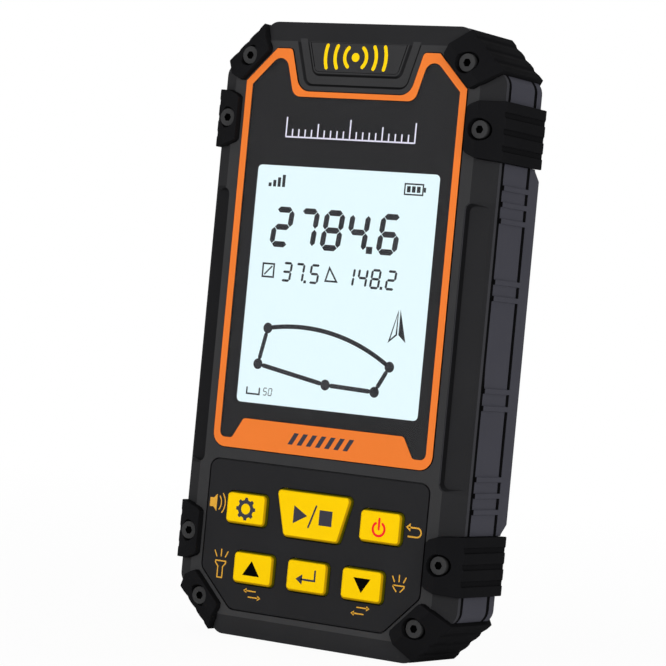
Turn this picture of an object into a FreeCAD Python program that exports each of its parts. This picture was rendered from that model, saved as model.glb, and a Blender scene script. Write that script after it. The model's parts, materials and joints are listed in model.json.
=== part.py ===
"""Handheld GPS land area meter, as an assembly of its separate pieces.

Millimetres. +Z runs up the long side, the face with the display and keys looks
towards -Y, and the origin is the middle of the bottom of the whole object.
Depths are measured from the flat of the front face towards the rear, and the
helper at() turns such a depth into a Y. Front view outlines are lists of
(x, z, radius), one entry for each corner.
"""
import FreeCAD, Part
import math
import os
from FreeCAD import Vector

# Housing, front view
BODY_W = 69.4  # across the two side walls
BODY_H = 132.2  # bottom wall to top wall
CORNER_CUT = 10.8  # the 45 degree corners, along each edge
CORNER_ROUND = 3.0  # softening where a corner meets a wall
FACE_ROUND = 1.5  # the same on the front and rear faces
FACE_INSET = 4.45  # bevelled border round the front face
REAR_INSET = 4.45  # bevelled border round the rear face

# Housing, front to rear
BEVEL_DEPTH = 3.12  # front bevel
LIP_DEPTH = 1.18  # straight edge of the front case behind the bevel
FRONT_GROOVE = 1.05  # front seal
BAND_DEPTH = 9.85  # middle frame
REAR_GROOVE = 1.25  # rear seal
REAR_EDGE = 2.0  # straight edge of the rear case
REAR_BEVEL = 3.15  # rear bevel
REAR_RAISE = 2.15  # extra depth over the battery
RAISE_HALF_H = 38.15  # half height of the raised rear where its slope starts
RAISE_SLOPE = 0.95  # height lost per depth at the ends of the raised rear

# Walls and seals
WALL = 2.2  # middle frame and lips
REAR_WALL = 2.0
FACE_PLATE = 2.4  # front case behind the display and keys
RIM_PLATE = 3.6  # front case under the guards
RIM_W = 7.6  # width of that thicker border
GROOVE_DEPTH = 0.1  # how far the seals sit inside the walls
SEAL_W = 2.0  # width of the seal rings

# Ribs on both side walls of the middle frame
RIB_FROM_GUARD = 11.27  # nearest rib to the middle of a side guard
RIBS_BY_GUARD = 3
RIB_PITCH = 3.39
MID_RIBS_UP = (10.68, 14.05)  # pairs of ribs above and below the middle
MID_RIBS_DOWN = (8.39, 11.95)
RIB_H = 1.06
RIB_PROUD = 0.33
RIB_OVERLAP = 1.0  # how far the ribs reach over the rear groove
NIB_DEPTH = 0.25  # black foot of each rib on the front seal

# Finger scoops in the side bevels
SCOOP_EDGE = 5.35  # inner edge, inwards from the wall
SCOOP_H = 59.4
SCOOP_ROUND = 1.5
SCOOP_DEPTH = 1.48  # at the inner edge
SCOOP_FLOOR_RISE = 0.224  # depth gained per width of the floor
SCOOP_WALL_LEAN = 0.7  # how far the inner wall leans over the bevel's depth
SCOOP_END_LEAN = 0.9

# Guards
GUARD_LUG = 6.4  # front lug, inwards from the wall
GUARD_FLAT = 3.7  # where the lug's flat ends, inwards from the wall
GUARD_PROUD = 0.95  # outside the wall
GUARD_FRONT = 1.5  # in front of the face
GUARD_SEAT = 2.4  # depth of the lug's seat in the front case
GUARD_SINK = 1.2  # depth of the side pocket in the wall
GUARD_SIDE_END = 19.3  # depth where the side face ends
GUARD_REAR = 22.6  # depth of the rear lug's flat
GUARD_REAR_LUG = 5.7  # rear lug, inwards from the wall
GUARD_REAR_T = 2.0  # thickness of the rear lug
GUARD_PLAY = 0.1  # gap between a guard and its pocket
GUARD_INNER_CUT = 2.0  # bevel inside the rear corner
GUARD_CLIP = 0.6  # cut corners of the front lug
SIDE_GUARD_Z = 21.4  # centre of a side guard from the nearer end of the housing
SIDE_GUARD_HALF = (5.05, 5.85, 6.25)  # half lengths at inner edge, flat end, outer face
CORNER_GUARD_HALF = (4.95, 5.6, 5.95)
SLOT_W = 1.1  # square grooves on the side guards
SLOT_DEPTH = 0.3
SLOT_PITCH = 3.45
NOTCH_W = 1.85  # sawtooth grooves on the corner guards
NOTCH_SHORT = 0.5
NOTCH_DEEP = 0.28
NOTCH_PITCH = 3.3
GROOVES = 3

# Guard screws and their inserts
SCREW_INSET = 3.45  # screw axis inwards from the wall
SCREW_D = 2.0
SCREW_LEN = 18.0
SCREW_HEAD_D = 3.8
SCREW_HEAD_H = 1.9
SCREW_HEAD_TOP = -0.54  # depth of the top of the head
SCREW_HEX = 1.5
SCREW_HEX_DEEP = 1.0
SCREW_RECESS_D = 4.6
SCREW_HOLE_D = 2.3
BOSS_D = 5.4
INSERT_D = 3.0
INSERT_LEN = 2.5
INSERT_BORE = 2.15
BORE_PLAY = 0.1  # board screws in their bores
INSERT_TIP_ROOM = 0.15

# Display: orange bezel, clear window, screen
BEZEL_SIDE_GAP = 0.97  # bezel to the side guards
BEZEL_CORNER_GAP = 0.55  # bezel to the corner guards
BEZEL_TOP_GAP = 1.65  # bezel to the top edge of the face
BEZEL_BAND = 1.63  # width of the bezel along the sides
BEZEL_FOOT = 2.07  # width of the bezel along the bottom
BEZEL_PROUD = 0.21
BEZEL_T = 1.41
BEZEL_GAP = 0.12  # gap between the bezel and its groove
TAB_H = 4.43  # raised tab in the middle of the bezel's bottom
TAB_SIDE = 3.1  # side of the window to the foot of the tab
TAB_LEAN = 2.6  # sideways run of the tab's ends
TAB_ROUND = 0.9  # corners of the tab's ends
NOTCH_DROP = 9.0  # bezel's notch round the nameplate, below the bezel's top
NOTCH_SHOULDER = 3.85  # bezel's top edge beside the notch
NOTCH_LEAN = 0.2917  # sideways per height of the notch's sides
NOTCH_BAND = 1.18  # width of the bezel under the notch
BEZEL_NOTCH_ROUND = 3.3
BEZEL_HORN_ROUND = 0.9  # where the notch meets the top edge
BEZEL_FOOT_ROUND = 3.0
WINDOW_NOTCH_ROUND = 2.2
WINDOW_FOOT_ROUND = 1.3
WINDOW_PROUD = 0.16
WINDOW_T = 0.6
WINDOW_GAP = 0.08
MASK_T = 0.1
SCREEN_SIDE = 3.06  # screen to the side of the window
SCREEN_FOOT = 9.92  # bottom of the screen above the bottom of the bezel
SCREEN_HEAD = 14.8  # top of the screen below the floor of the window's notch
SCREEN_ROUND = 1.0
LCD_BORDER_SIDE = 1.56
LCD_BORDER_FOOT = 2.57
LCD_BORDER_HEAD = 2.0
LCD_T = 3.0
LCD_GAP = 0.2
HOLDER_RIM = 1.0
HOLDER_BAR = 3.0

# Nameplate above the display
TRENCH_LAND_SIDE = 1.41  # face left between the bezel and the trench
TRENCH_LAND_FOOT = 1.18
TRENCH_W = 2.75
TRENCH_DEEP = 0.46
TRENCH_OUTER_ROUND = 2.25
TRENCH_RUN_OUT = 3.0  # how far the trench's cut runs past the top of the face
PLATE_ROUND = 1.0
PLATE_EDGE = 0.45  # island left round the nameplate
PLATE_T = 0.6
PLATE_GAP = 0.05
PLATE_TOP_GAP = 0.2  # nameplate to the top edge of the face

# Keypad, heights from the bottom of the housing
PANEL_TOP = 37.4
PANEL_FOOT = 6.02
PANEL_SIDE_GAP = 1.1  # panel to the side guards
PANEL_CORNER_GAP = 1.25  # panel to the corner guards
PANEL_ROUND = 1.9
PANEL_T = 0.8
PANEL_GAP = 0.28
PANEL_BEZEL_GAP = 2.85  # face left between the panel and the bezel
KEY_W = 9.8
KEY_H = 6.45
KEY_PROUD = 0.88
KEY_DRAFT = 0.25  # foot of a key larger than its face, all round
KEY_ROUND = 0.9
KEY_PLAY = 0.2
KEY_TRAVEL = 0.8
KEY_FLANGE = 0.8
KEY_FLANGE_T = 0.6
KEY_REST_GAP = 0.1
UPPER_KEYS_X = 16.8
UPPER_KEYS_Z = 27.55
LOWER_KEYS_X = 13.63
LOWER_KEYS_Z = 15.1
START_KEY_Z = 27.84
START_KEY_H = 9.7
START_KEY_TOP = 18.6
START_KEY_FOOT = 13.55

# Electronics and hidden fasteners
POST_SIDES = 6  # sides of the posts, shanks and bores that no view reaches
SPEAKER_SIDES = 24
DOME_T = 0.2
MEMBRANE_T = 0.4
MEMBRANE_EDGE = 2.2  # membrane beyond the keys
SWITCH_H = 1.5
SWITCH_W = 5.2
SWITCH_PLUNGER_D = 2.6
SWITCH_PLUNGER_H = 0.4
BOARD_T = 1.6
BOARD_GAP = 0.8  # board to the middle frame
TOP_SCREWS = (12.7, 22.1)  # board screws, from the side wall and the top wall
MID_SCREWS = (6.9, 4.7)  # from the side wall and above the keypad panel
LOW_SCREWS = (12.0, 6.8)  # from the middle and the bottom wall
BOARD_BOSS_D = 4.0
BOARD_SCREW_D = 1.7
BOARD_SCREW_LEN = 4.0
BOARD_SCREW_HEAD_D = 3.2
BOARD_SCREW_HEAD_H = 1.2
ANTENNA_W = 25.0
ANTENNA_T = 4.5
ANTENNA_PIN_D = 1.6
ANTENNA_PIN_H = 0.4
ANTENNA_DROP = 11.6  # top of the antenna below the top wall
SHIELD_W = 16.0
SHIELD_H = 14.0
SHIELD_T = 2.4
SHIELD_X = 16.0
BATTERY_W = 50.0
BATTERY_H = 62.0
BATTERY_T = 8.0
SPEAKER_D = 20.0
SPEAKER_T = 4.5
SPEAKER_MAGNET_D = 12.0
SPEAKER_CONE_D = 16.0
SPEAKER_CONE_DEEP = 0.8
SPEAKER_Z = 19.1
SPEAKER_SLOTS = 5
SPEAKER_SLOT_W = 1.2
SPEAKER_SLOT_L = 12.0
SPEAKER_SLOT_PITCH = 2.6

# Torch in the top wall
TORCH_D = 7.0
TORCH_LENS_T = 1.6
TORCH_LAMP_D = 5.0
TORCH_PLAY = 0.1
TORCH_BASE = 6.4
TORCH_BASE_H = 6.0

# Charging port in the left wall
PORT_Z = 67.3
PORT_W = 9.0
PORT_T = 3.2
PORT_LEN = 7.3
PORT_SHELL = 0.35
PORT_BACK = 1.0  # closed end of the socket
TONGUE_T = 0.7
TONGUE_W = 6.0
TONGUE_START = 1.5  # tongue behind the socket's mouth
PORT_PLAY = 0.2
COVER_H = 13.4
COVER_FRONT_REACH = 3.0  # cover from the port's middle towards the front
COVER_REAR_REACH = 3.3  # from the port's middle to the cover's hinge edge
COVER_T = 1.2
COVER_PLAY = 0.25
RECESS_PLAY = 0.1  # room behind the cover
COVER_ROUND = 1.2
COVER_PLUG_T = 1.6
COVER_PLUG_W = 6.6
COVER_PLUG_IN = 0.8

HALF_W = BODY_W / 2
MID_Z = BODY_H / 2
DEPTH_TO_REAR = (
    BEVEL_DEPTH + LIP_DEPTH + FRONT_GROOVE + BAND_DEPTH + REAR_GROOVE + REAR_EDGE + REAR_BEVEL + REAR_RAISE
)
FACE_Y = GUARD_FRONT - (DEPTH_TO_REAR + GUARD_FRONT) / 2
LIP_END = BEVEL_DEPTH + LIP_DEPTH
BAND_START = LIP_END + FRONT_GROOVE
BAND_END = BAND_START + BAND_DEPTH
REAR_START = BAND_END + REAR_GROOVE
REAR_EDGE_END = REAR_START + REAR_EDGE
ROOT2 = math.sqrt(2.0)
FLAT_GAP = 0.02  # greatest gap between a rounding and the flats that stand for it
SHORTEST = 0.0001  # shorter stretches than this are left out
PAST = 1.0  # how far a cutter runs past what it cuts
LAP = 0.5  # how far a boss runs into the wall it stands on

BEZEL_FLOOR = BEZEL_T - BEZEL_PROUD
WINDOW_BACK = WINDOW_T - WINDOW_PROUD
SEAT_DEPTH = WINDOW_BACK + MASK_T
LCD_BACK = SEAT_DEPTH + LCD_T
KEY_FLANGE_START = FACE_PLATE + KEY_REST_GAP
MEMBRANE_FRONT = KEY_FLANGE_START + KEY_FLANGE_T + KEY_TRAVEL + KEY_REST_GAP
MEMBRANE_BACK = MEMBRANE_FRONT + DOME_T + MEMBRANE_T
BOARD_FRONT = MEMBRANE_BACK + SWITCH_H
BOARD_BACK = BOARD_FRONT + BOARD_T
PORT_DEPTH = BOARD_BACK + PORT_T / 2
RAISED_BACK = DEPTH_TO_REAR - REAR_WALL
SCREW_SEAT = SCREW_HEAD_TOP + SCREW_HEAD_H
SCREW_TIP = SCREW_SEAT + SCREW_LEN


def at(depth):
    """Y of a plane that lies this far behind the flat of the front face."""
    return FACE_Y + depth


def quarter_flats(radius):
    """Number of flats that stand for a quarter turn of this radius."""
    if radius <= FLAT_GAP:
        return 1
    return math.ceil(math.pi / 4 / math.acos(1 - FLAT_GAP / radius))


def rounded_ring(corners, widest):
    """Ring of points through (point, radius) corners, each rounding a row of flats.

    The widest radii set the numbers of flats, so that rings of one shape match.
    """
    ring = []
    count = len(corners)
    for index, (point, radius) in enumerate(corners):
        back = corners[index - 1][0] - point
        ahead = corners[(index + 1) % count][0] - point
        half = back.getAngle(ahead) / 2
        reach = min(radius / math.tan(half), 0.49 * back.Length, 0.49 * ahead.Length)
        if reach < SHORTEST:
            ring.append(point)
            continue
        across = (ahead.normalize() - back.normalize()).normalize()
        inwards = (ahead + back).normalize()
        radius = reach * math.tan(half)
        centre = point + inwards * (radius / math.sin(half))
        turn = math.pi - 2 * half
        flats = math.ceil(quarter_flats(widest[index]) * turn * 2 / math.pi)
        for step in range(flats + 1):
            angle = turn * (step / flats - 0.5)
            ring.append(centre + across * (radius * math.sin(angle)) - inwards * (radius * math.cos(angle)))
    return ring


def closed_wire(ring):
    """Closed wire through a ring of points."""
    return Part.makePolygon(ring + ring[:1])


def prism(corners, along):
    """Solid from (point, radius) corners in a plane, pushed along a vector."""
    ring = rounded_ring(corners, [radius for _, radius in corners])
    return Part.Face(closed_wire(ring)).extrude(along)


def front_corners(outline, depth):
    """Corners of a front view outline at one depth."""
    return [(Vector(x, at(depth), z), radius) for x, z, radius in outline]


def slab(outline, start, end):
    """Prism of a front view outline between two depths."""
    return prism(front_corners(outline, start), Vector(0, end - start, 0))


def tapered(outline_start, start, outline_end, end):
    """Solid that changes from one outline to another between two depths."""
    widest = [max(first[2], last[2]) for first, last in zip(outline_start, outline_end)]
    first = closed_wire(rounded_ring(front_corners(outline_start, start), widest))
    last = closed_wire(rounded_ring(front_corners(outline_end, end), widest))
    return Part.makeLoft([first, last], True, True)


def grown(outline, margin):
    """Outline moved outwards by a margin, with its roundings kept concentric."""
    count = len(outline)
    area = 0.0
    for index in range(count):
        x0, z0, _ = outline[index - 1]
        x1, z1, _ = outline[index]
        area += x0 * z1 - x1 * z0
    side = 1 if area > 0 else -1
    result = []
    for index, (x, z, radius) in enumerate(outline):
        x0, z0, _ = outline[index - 1]
        x1, z1, _ = outline[(index + 1) % count]
        into = Vector(x - x0, 0, z - z0).normalize()
        away = Vector(x1 - x, 0, z1 - z).normalize()
        normal_in = Vector(side * into.z, 0, -side * into.x)
        normal_out = Vector(side * away.z, 0, -side * away.x)
        step = (normal_in + normal_out) * (margin / (1 + normal_in.dot(normal_out)))
        convex = side * (into.x * away.z - into.z * away.x) > 0
        change = margin if convex else -margin
        new_radius = max(radius + change, 0.05) if radius > 0 else 0
        result.append((x + step.x, z + step.z, new_radius))
    return result


def square(outline):
    """Same outline with sharp corners."""
    return [(x, z, 0) for x, z, _ in outline]


def mirrored(half):
    """Full outline from its right half, listed from the top middle downwards."""
    return half + [(-x, z, radius) for x, z, radius in reversed(half)]


def rectangle(x, z, width, height, radius):
    """Rounded rectangle about a centre."""
    w = width / 2
    h = height / 2
    return [(x - w, z - h, radius), (x + w, z - h, radius), (x + w, z + h, radius), (x - w, z + h, radius)]


def box(x0, x1, depth0, depth1, z0, z1):
    """Block between two x, two depths and two heights."""
    return Part.makeBox(x1 - x0, depth1 - depth0, z1 - z0, Vector(x0, at(depth0), z0))


def bar(middle, across, along, diameter, sides):
    """Many-sided straight bar from the middle of its first end."""
    third = along.cross(across).normalize()
    radius = diameter / 2
    ring = []
    for corner in range(sides):
        angle = 2 * math.pi * (corner + 0.5) / sides
        ring.append(middle + across * (radius * math.cos(angle)) + third * (radius * math.sin(angle)))
    return Part.Face(closed_wire(ring)).extrude(along)


def post(x, z, diameter, start, end, sides=POST_SIDES):
    """Bar along Y between two depths, with few sides where no view reaches it."""
    return bar(Vector(x, at(start), z), Vector(1, 0, 0), Vector(0, end - start, 0), diameter, sides)


def rod(x, z, diameter, start, end):
    """Round bar along Y between two depths."""
    return post(x, z, diameter, start, end, 4 * quarter_flats(diameter / 2))


def fused(shapes):
    """One shape from several that touch or overlap."""
    return shapes[0].multiFuse(shapes[1:]).removeSplitter()


def without(shape, cutters):
    """Shape with every cutter taken away."""
    return shape.cut(Part.makeCompound(list(cutters)))


def housing_outline(inset, radius=0):
    """Octagon of the housing, moved inwards by an inset."""
    half_w = HALF_W - inset
    cut = CORNER_CUT - inset * (2 - ROOT2)
    top = BODY_H - inset
    half = [
        (half_w - cut, top, radius),
        (half_w, top - cut, radius),
        (half_w, inset + cut, radius),
        (half_w - cut, inset, radius),
    ]
    return mirrored(half)


def housing_slab(inset, start, end, radius=0):
    """Prism of the housing's octagon between two depths."""
    return slab(housing_outline(inset, radius), start, end)


def screw_places():
    """Centres of the eight guard screws, as (x, z)."""
    side_x = HALF_W - SCREW_INSET
    corner_mid_x = HALF_W - CORNER_CUT / 2
    corner_mid_z = CORNER_CUT / 2
    shift = SCREW_INSET / ROOT2
    lower = [(side_x, SIDE_GUARD_Z), (corner_mid_x - shift, corner_mid_z + shift)]
    right = lower + [(x, BODY_H - z) for x, z in lower]
    return right + [(-x, z) for x, z in right]


def screw_bars(diameter, start, end):
    """Posts on all guard screw axes, for bosses and for their bores."""
    return [post(x, z, diameter, start, end) for x, z in screw_places()]


def guard_section(margin):
    """Guard seen along the wall, as (outwards from the wall, depth, radius)."""
    inside = GUARD_REAR - GUARD_REAR_T
    section = [
        (-GUARD_LUG, GUARD_SEAT),
        (-GUARD_LUG, -GUARD_FRONT),
        (-GUARD_FLAT, -GUARD_FRONT),
        (GUARD_PROUD, GUARD_SEAT),
        (GUARD_PROUD, GUARD_SIDE_END),
        (-GUARD_FLAT, GUARD_REAR),
        (-GUARD_REAR_LUG, GUARD_REAR),
        (-GUARD_REAR_LUG, inside),
        (-GUARD_SINK - GUARD_INNER_CUT, inside),
        (-GUARD_SINK, inside - GUARD_INNER_CUT),
        (-GUARD_SINK, GUARD_SEAT),
    ]
    return grown([(x, depth, 0) for x, depth in section], margin)


def guard_blank(half_lengths, margin):
    """Plain guard about its own middle: X outwards from the wall, Z along it."""
    inner, flat, outer = half_lengths
    reach = max(half_lengths) + PAST
    corners = [(Vector(x, at(depth), -reach), radius) for x, depth, radius in guard_section(margin)]
    blank = prism(corners, Vector(0, 0, 2 * reach))
    half = [
        (-GUARD_LUG, inner - GUARD_CLIP),
        (-GUARD_LUG + GUARD_CLIP, inner),
        (-GUARD_FLAT, flat),
        (GUARD_PROUD, outer),
    ]
    plan = [(x, z, 0) for x, z in half] + [(x, -z, 0) for x, z in reversed(half)]
    return blank.common(slab(grown(plan, margin), -GUARD_FRONT - PAST, GUARD_REAR + PAST))


def side_groove(offset):
    """Square groove along the outer face of a side guard."""
    low = offset - SLOT_W / 2
    return box(GUARD_PROUD - SLOT_DEPTH, GUARD_PROUD + PAST, -GUARD_FRONT, GUARD_REAR, low, low + SLOT_W)


def corner_groove(offset):
    """Sawtooth groove along the outer face of a corner guard."""
    low = offset - NOTCH_W / 2
    y = at(-GUARD_FRONT)
    corners = [
        (Vector(GUARD_PROUD, y, low), 0),
        (Vector(GUARD_PROUD - NOTCH_DEEP, y, low + NOTCH_SHORT), 0),
        (Vector(GUARD_PROUD, y, low + NOTCH_W), 0),
        (Vector(GUARD_PROUD + PAST, y, low + NOTCH_W / 2), 0),
    ]
    return prism(corners, Vector(0, GUARD_REAR + GUARD_FRONT, 0))


def guard(half_lengths, groove, pitch):
    """Finished guard about its own middle."""
    cutters = [groove(pitch * (index - (GROOVES - 1) / 2)) for index in range(GROOVES)]
    cutters.append(rod(-SCREW_INSET, 0, SCREW_RECESS_D, -GUARD_FRONT - PAST, SCREW_SEAT))
    cutters.append(post(-SCREW_INSET, 0, SCREW_HOLE_D, -GUARD_FRONT - PAST, GUARD_SEAT + PAST))
    return without(guard_blank(half_lengths, 0), cutters)


def at_side(shape):
    """Guard moved to the lower end of the right wall."""
    moved = shape.copy()
    moved.translate(Vector(HALF_W, 0, SIDE_GUARD_Z))
    return moved


def at_corner(shape):
    """Guard moved to the lower right corner, its upper end towards the wall."""
    moved = shape.copy()
    moved.rotate(Vector(0, 0, 0), Vector(0, 1, 0), 45)
    moved.translate(Vector(HALF_W - CORNER_CUT / 2, 0, CORNER_CUT / 2))
    return moved


def four_ways(shape):
    """Copies of a lower right shape as (lower or upper, left or right, shape)."""
    centre = Vector(0, 0, MID_Z)
    upper = shape.mirror(centre, Vector(0, 0, 1))
    copies = [("lower", "right", shape), ("upper", "right", upper)]
    flip = Vector(1, 0, 0)
    copies.append(("lower", "left", shape.mirror(centre, flip)))
    copies.append(("upper", "left", upper.mirror(centre, flip)))
    return copies


def guard_pockets():
    """Room for all eight guards, to be cut from the housing."""
    side = at_side(guard_blank(SIDE_GUARD_HALF, GUARD_PLAY))
    corner = at_corner(guard_blank(CORNER_GUARD_HALF, GUARD_PLAY))
    return [shape for _, _, shape in four_ways(side) + four_ways(corner)]


def bezel_bottom():
    """Height of the bezel's lower edge."""
    return PANEL_TOP + PANEL_BEZEL_GAP


def bezel_top():
    """Height of the bezel's upper edges."""
    return BODY_H - FACE_INSET - BEZEL_TOP_GAP


def bezel_half_w():
    """Half width of the bezel between the side guards."""
    return HALF_W - GUARD_LUG - BEZEL_SIDE_GAP


def corner_line(gap):
    """x + z on the line that keeps a gap to the upper right corner guard."""
    return HALF_W + BODY_H - CORNER_CUT - (GUARD_LUG + gap) * ROOT2


def notch_half():
    """Half width of the bezel's notch at its floor."""
    shoulder = corner_line(BEZEL_CORNER_GAP) - bezel_top()
    return shoulder - NOTCH_SHOULDER - NOTCH_DROP * NOTCH_LEAN


def window_half_w():
    """Half width of the window between the sides of the bezel."""
    return bezel_half_w() - BEZEL_BAND


def bezel_outline():
    """Outer edge of the bezel."""
    top = bezel_top()
    half_w = bezel_half_w()
    line = corner_line(BEZEL_CORNER_GAP)
    half = [
        (notch_half(), top - NOTCH_DROP, BEZEL_NOTCH_ROUND),
        (notch_half() + NOTCH_DROP * NOTCH_LEAN, top, BEZEL_HORN_ROUND),
        (line - top, top, 0),
        (half_w, line - half_w, 0),
        (half_w, bezel_bottom(), BEZEL_FOOT_ROUND),
    ]
    return mirrored(half)


def window_outline():
    """Inner edge of the bezel."""
    lean = math.hypot(1.0, NOTCH_LEAN)
    band = BEZEL_BAND
    notch_z = bezel_top() - NOTCH_DROP
    floor_z = notch_z - NOTCH_BAND
    floor_x = notch_half() + band * lean - NOTCH_BAND * NOTCH_LEAN
    half_w = window_half_w()
    line = corner_line(BEZEL_CORNER_GAP + band)
    rise = (line - floor_x - floor_z) / (1 + NOTCH_LEAN)
    foot = bezel_bottom() + BEZEL_FOOT
    half = [
        (floor_x, floor_z, WINDOW_NOTCH_ROUND),
        (floor_x + rise * NOTCH_LEAN, floor_z + rise, WINDOW_NOTCH_ROUND),
        (half_w, line - half_w, 0),
        (half_w, foot, WINDOW_FOOT_ROUND),
        (half_w - TAB_SIDE, foot, TAB_ROUND),
        (half_w - TAB_SIDE - TAB_LEAN, foot + TAB_H, TAB_ROUND),
    ]
    return mirrored(half)


def screen_outline():
    """Visible part of the screen."""
    low = bezel_bottom() + SCREEN_FOOT
    high = bezel_top() - NOTCH_DROP - NOTCH_BAND - SCREEN_HEAD
    width = 2 * (window_half_w() - SCREEN_SIDE)
    return rectangle(0, (low + high) / 2, width, high - low, SCREEN_ROUND)


def lcd_outline():
    """Edge of the display module behind the window."""
    low = bezel_bottom() + SCREEN_FOOT - LCD_BORDER_FOOT
    high = bezel_top() - NOTCH_DROP - NOTCH_BAND - SCREEN_HEAD + LCD_BORDER_HEAD
    width = 2 * (window_half_w() - SCREEN_SIDE + LCD_BORDER_SIDE)
    return rectangle(0, (low + high) / 2, width, high - low, 0)


def plate_outline(side_inset, foot_inset, top, radius):
    """Outline that follows the bezel's notch, used for trench and nameplate."""
    lean = math.hypot(1.0, NOTCH_LEAN)
    foot = bezel_top() - NOTCH_DROP + foot_inset
    foot_x = notch_half() + foot_inset * NOTCH_LEAN - side_inset * lean
    top_x = foot_x + (top - foot) * NOTCH_LEAN
    return [(-foot_x, foot, radius), (foot_x, foot, radius), (top_x, top, 0), (-top_x, top, 0)]


def nameplate_outline(margin):
    """Edge of the nameplate, made larger by a margin."""
    side = TRENCH_LAND_SIDE + TRENCH_W + PLATE_EDGE - margin
    foot = TRENCH_LAND_FOOT + TRENCH_W + PLATE_EDGE - margin
    return plate_outline(side, foot, BODY_H - FACE_INSET - PLATE_TOP_GAP + margin, PLATE_ROUND + margin)


def nameplate_trench():
    """Shallow trench round the nameplate, open to the top bevel."""
    top = BODY_H - FACE_INSET + TRENCH_RUN_OUT
    side = TRENCH_LAND_SIDE
    foot = TRENCH_LAND_FOOT
    outer = tapered(
        plate_outline(side - TRENCH_DEEP, foot - TRENCH_DEEP, top, TRENCH_OUTER_ROUND + TRENCH_DEEP),
        -TRENCH_DEEP,
        plate_outline(side + TRENCH_DEEP, foot + TRENCH_DEEP, top, TRENCH_OUTER_ROUND - TRENCH_DEEP),
        TRENCH_DEEP,
    )
    side += TRENCH_W
    foot += TRENCH_W
    radius = PLATE_ROUND + PLATE_EDGE
    island = tapered(
        plate_outline(side + TRENCH_DEEP, foot + TRENCH_DEEP, top + PAST, radius - TRENCH_DEEP),
        -TRENCH_DEEP,
        plate_outline(side - TRENCH_DEEP, foot - TRENCH_DEEP, top + PAST, radius + TRENCH_DEEP),
        TRENCH_DEEP,
    )
    return outer.cut(island)


def panel_outline():
    """Edge of the keypad panel."""
    half_w = HALF_W - GUARD_LUG - PANEL_SIDE_GAP
    line = HALF_W - CORNER_CUT - (GUARD_LUG + PANEL_CORNER_GAP) * ROOT2
    half = [
        (half_w, PANEL_TOP, PANEL_ROUND),
        (half_w, half_w - line, PANEL_ROUND),
        (line + PANEL_FOOT, PANEL_FOOT, PANEL_ROUND),
    ]
    return mirrored(half)


def key_faces():
    """Front outline of every key, by node name."""
    start_low = START_KEY_Z - START_KEY_H / 2
    start = [
        (START_KEY_FOOT / 2, start_low, KEY_ROUND),
        (START_KEY_TOP / 2, start_low + START_KEY_H, KEY_ROUND),
    ]
    return {
        "key_settings": rectangle(-UPPER_KEYS_X, UPPER_KEYS_Z, KEY_W, KEY_H, KEY_ROUND),
        "key_start_stop": mirrored(start),
        "key_power": rectangle(UPPER_KEYS_X, UPPER_KEYS_Z, KEY_W, KEY_H, KEY_ROUND),
        "key_up": rectangle(-LOWER_KEYS_X, LOWER_KEYS_Z, KEY_W, KEY_H, KEY_ROUND),
        "key_enter": rectangle(0, LOWER_KEYS_Z, KEY_W, KEY_H, KEY_ROUND),
        "key_down": rectangle(LOWER_KEYS_X, LOWER_KEYS_Z, KEY_W, KEY_H, KEY_ROUND),
    }


def key_openings():
    """Outlines of the holes that the keys slide in."""
    return [grown(face, KEY_DRAFT + KEY_PLAY) for face in key_faces().values()]


def key_middles():
    """Centre of every key as (x, z)."""
    middles = []
    for face in key_faces().values():
        xs = [corner[0] for corner in face]
        zs = [corner[1] for corner in face]
        middles.append(((min(xs) + max(xs)) / 2, (min(zs) + max(zs)) / 2))
    return middles


def key(face):
    """Key cap with drafted sides and a retaining flange."""
    foot = grown(face, KEY_DRAFT)
    cap = tapered(face, -KEY_PROUD, foot, 0)
    stem = slab(foot, 0, KEY_FLANGE_START)
    flange = slab(grown(square(foot), KEY_FLANGE), KEY_FLANGE_START, KEY_FLANGE_START + KEY_FLANGE_T)
    return fused([cap, stem, flange])


def scoop():
    """Long finger scoop in the right bevel, as the room it takes."""
    edge = HALF_W - SCOOP_EDGE
    outside = HALF_W + PAST
    half_h = SCOOP_H / 2
    top = [
        (edge, MID_Z - half_h, SCOOP_ROUND),
        (outside, MID_Z - half_h, 0),
        (outside, MID_Z + half_h, 0),
        (edge, MID_Z + half_h, SCOOP_ROUND),
    ]
    lean = SCOOP_END_LEAN
    bottom = [
        (edge + SCOOP_WALL_LEAN, MID_Z - half_h + lean, SCOOP_ROUND),
        (outside, MID_Z - half_h + lean, 0),
        (outside, MID_Z + half_h - lean, 0),
        (edge + SCOOP_WALL_LEAN, MID_Z + half_h - lean, SCOOP_ROUND),
    ]
    room = tapered(top, 0, bottom, BEVEL_DEPTH)
    low = MID_Z - half_h - PAST
    floor_far = SCOOP_DEPTH + SCOOP_FLOOR_RISE * (outside - edge)
    section = [
        (Vector(edge - PAST, at(-PAST), low), 0),
        (Vector(outside, at(-PAST), low), 0),
        (Vector(outside, at(floor_far), low), 0),
        (Vector(edge - PAST, at(SCOOP_DEPTH - SCOOP_FLOOR_RISE), low), 0),
    ]
    room = room.common(prism(section, Vector(0, 0, SCOOP_H + 2 * PAST)))
    return room.fuse(slab(top, -PAST, 0))


def scoops():
    """Both finger scoops."""
    right = scoop()
    return [right, right.mirror(Vector(0, 0, 0), Vector(1, 0, 0))]


def board_screw_places():
    """Centres of the board screws, on both sides."""
    places = [
        (HALF_W - TOP_SCREWS[0], BODY_H - TOP_SCREWS[1]),
        (HALF_W - MID_SCREWS[0], PANEL_TOP + MID_SCREWS[1]),
        LOW_SCREWS,
    ]
    return [(side * x, z) for x, z in places for side in (-1, 1)]


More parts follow.
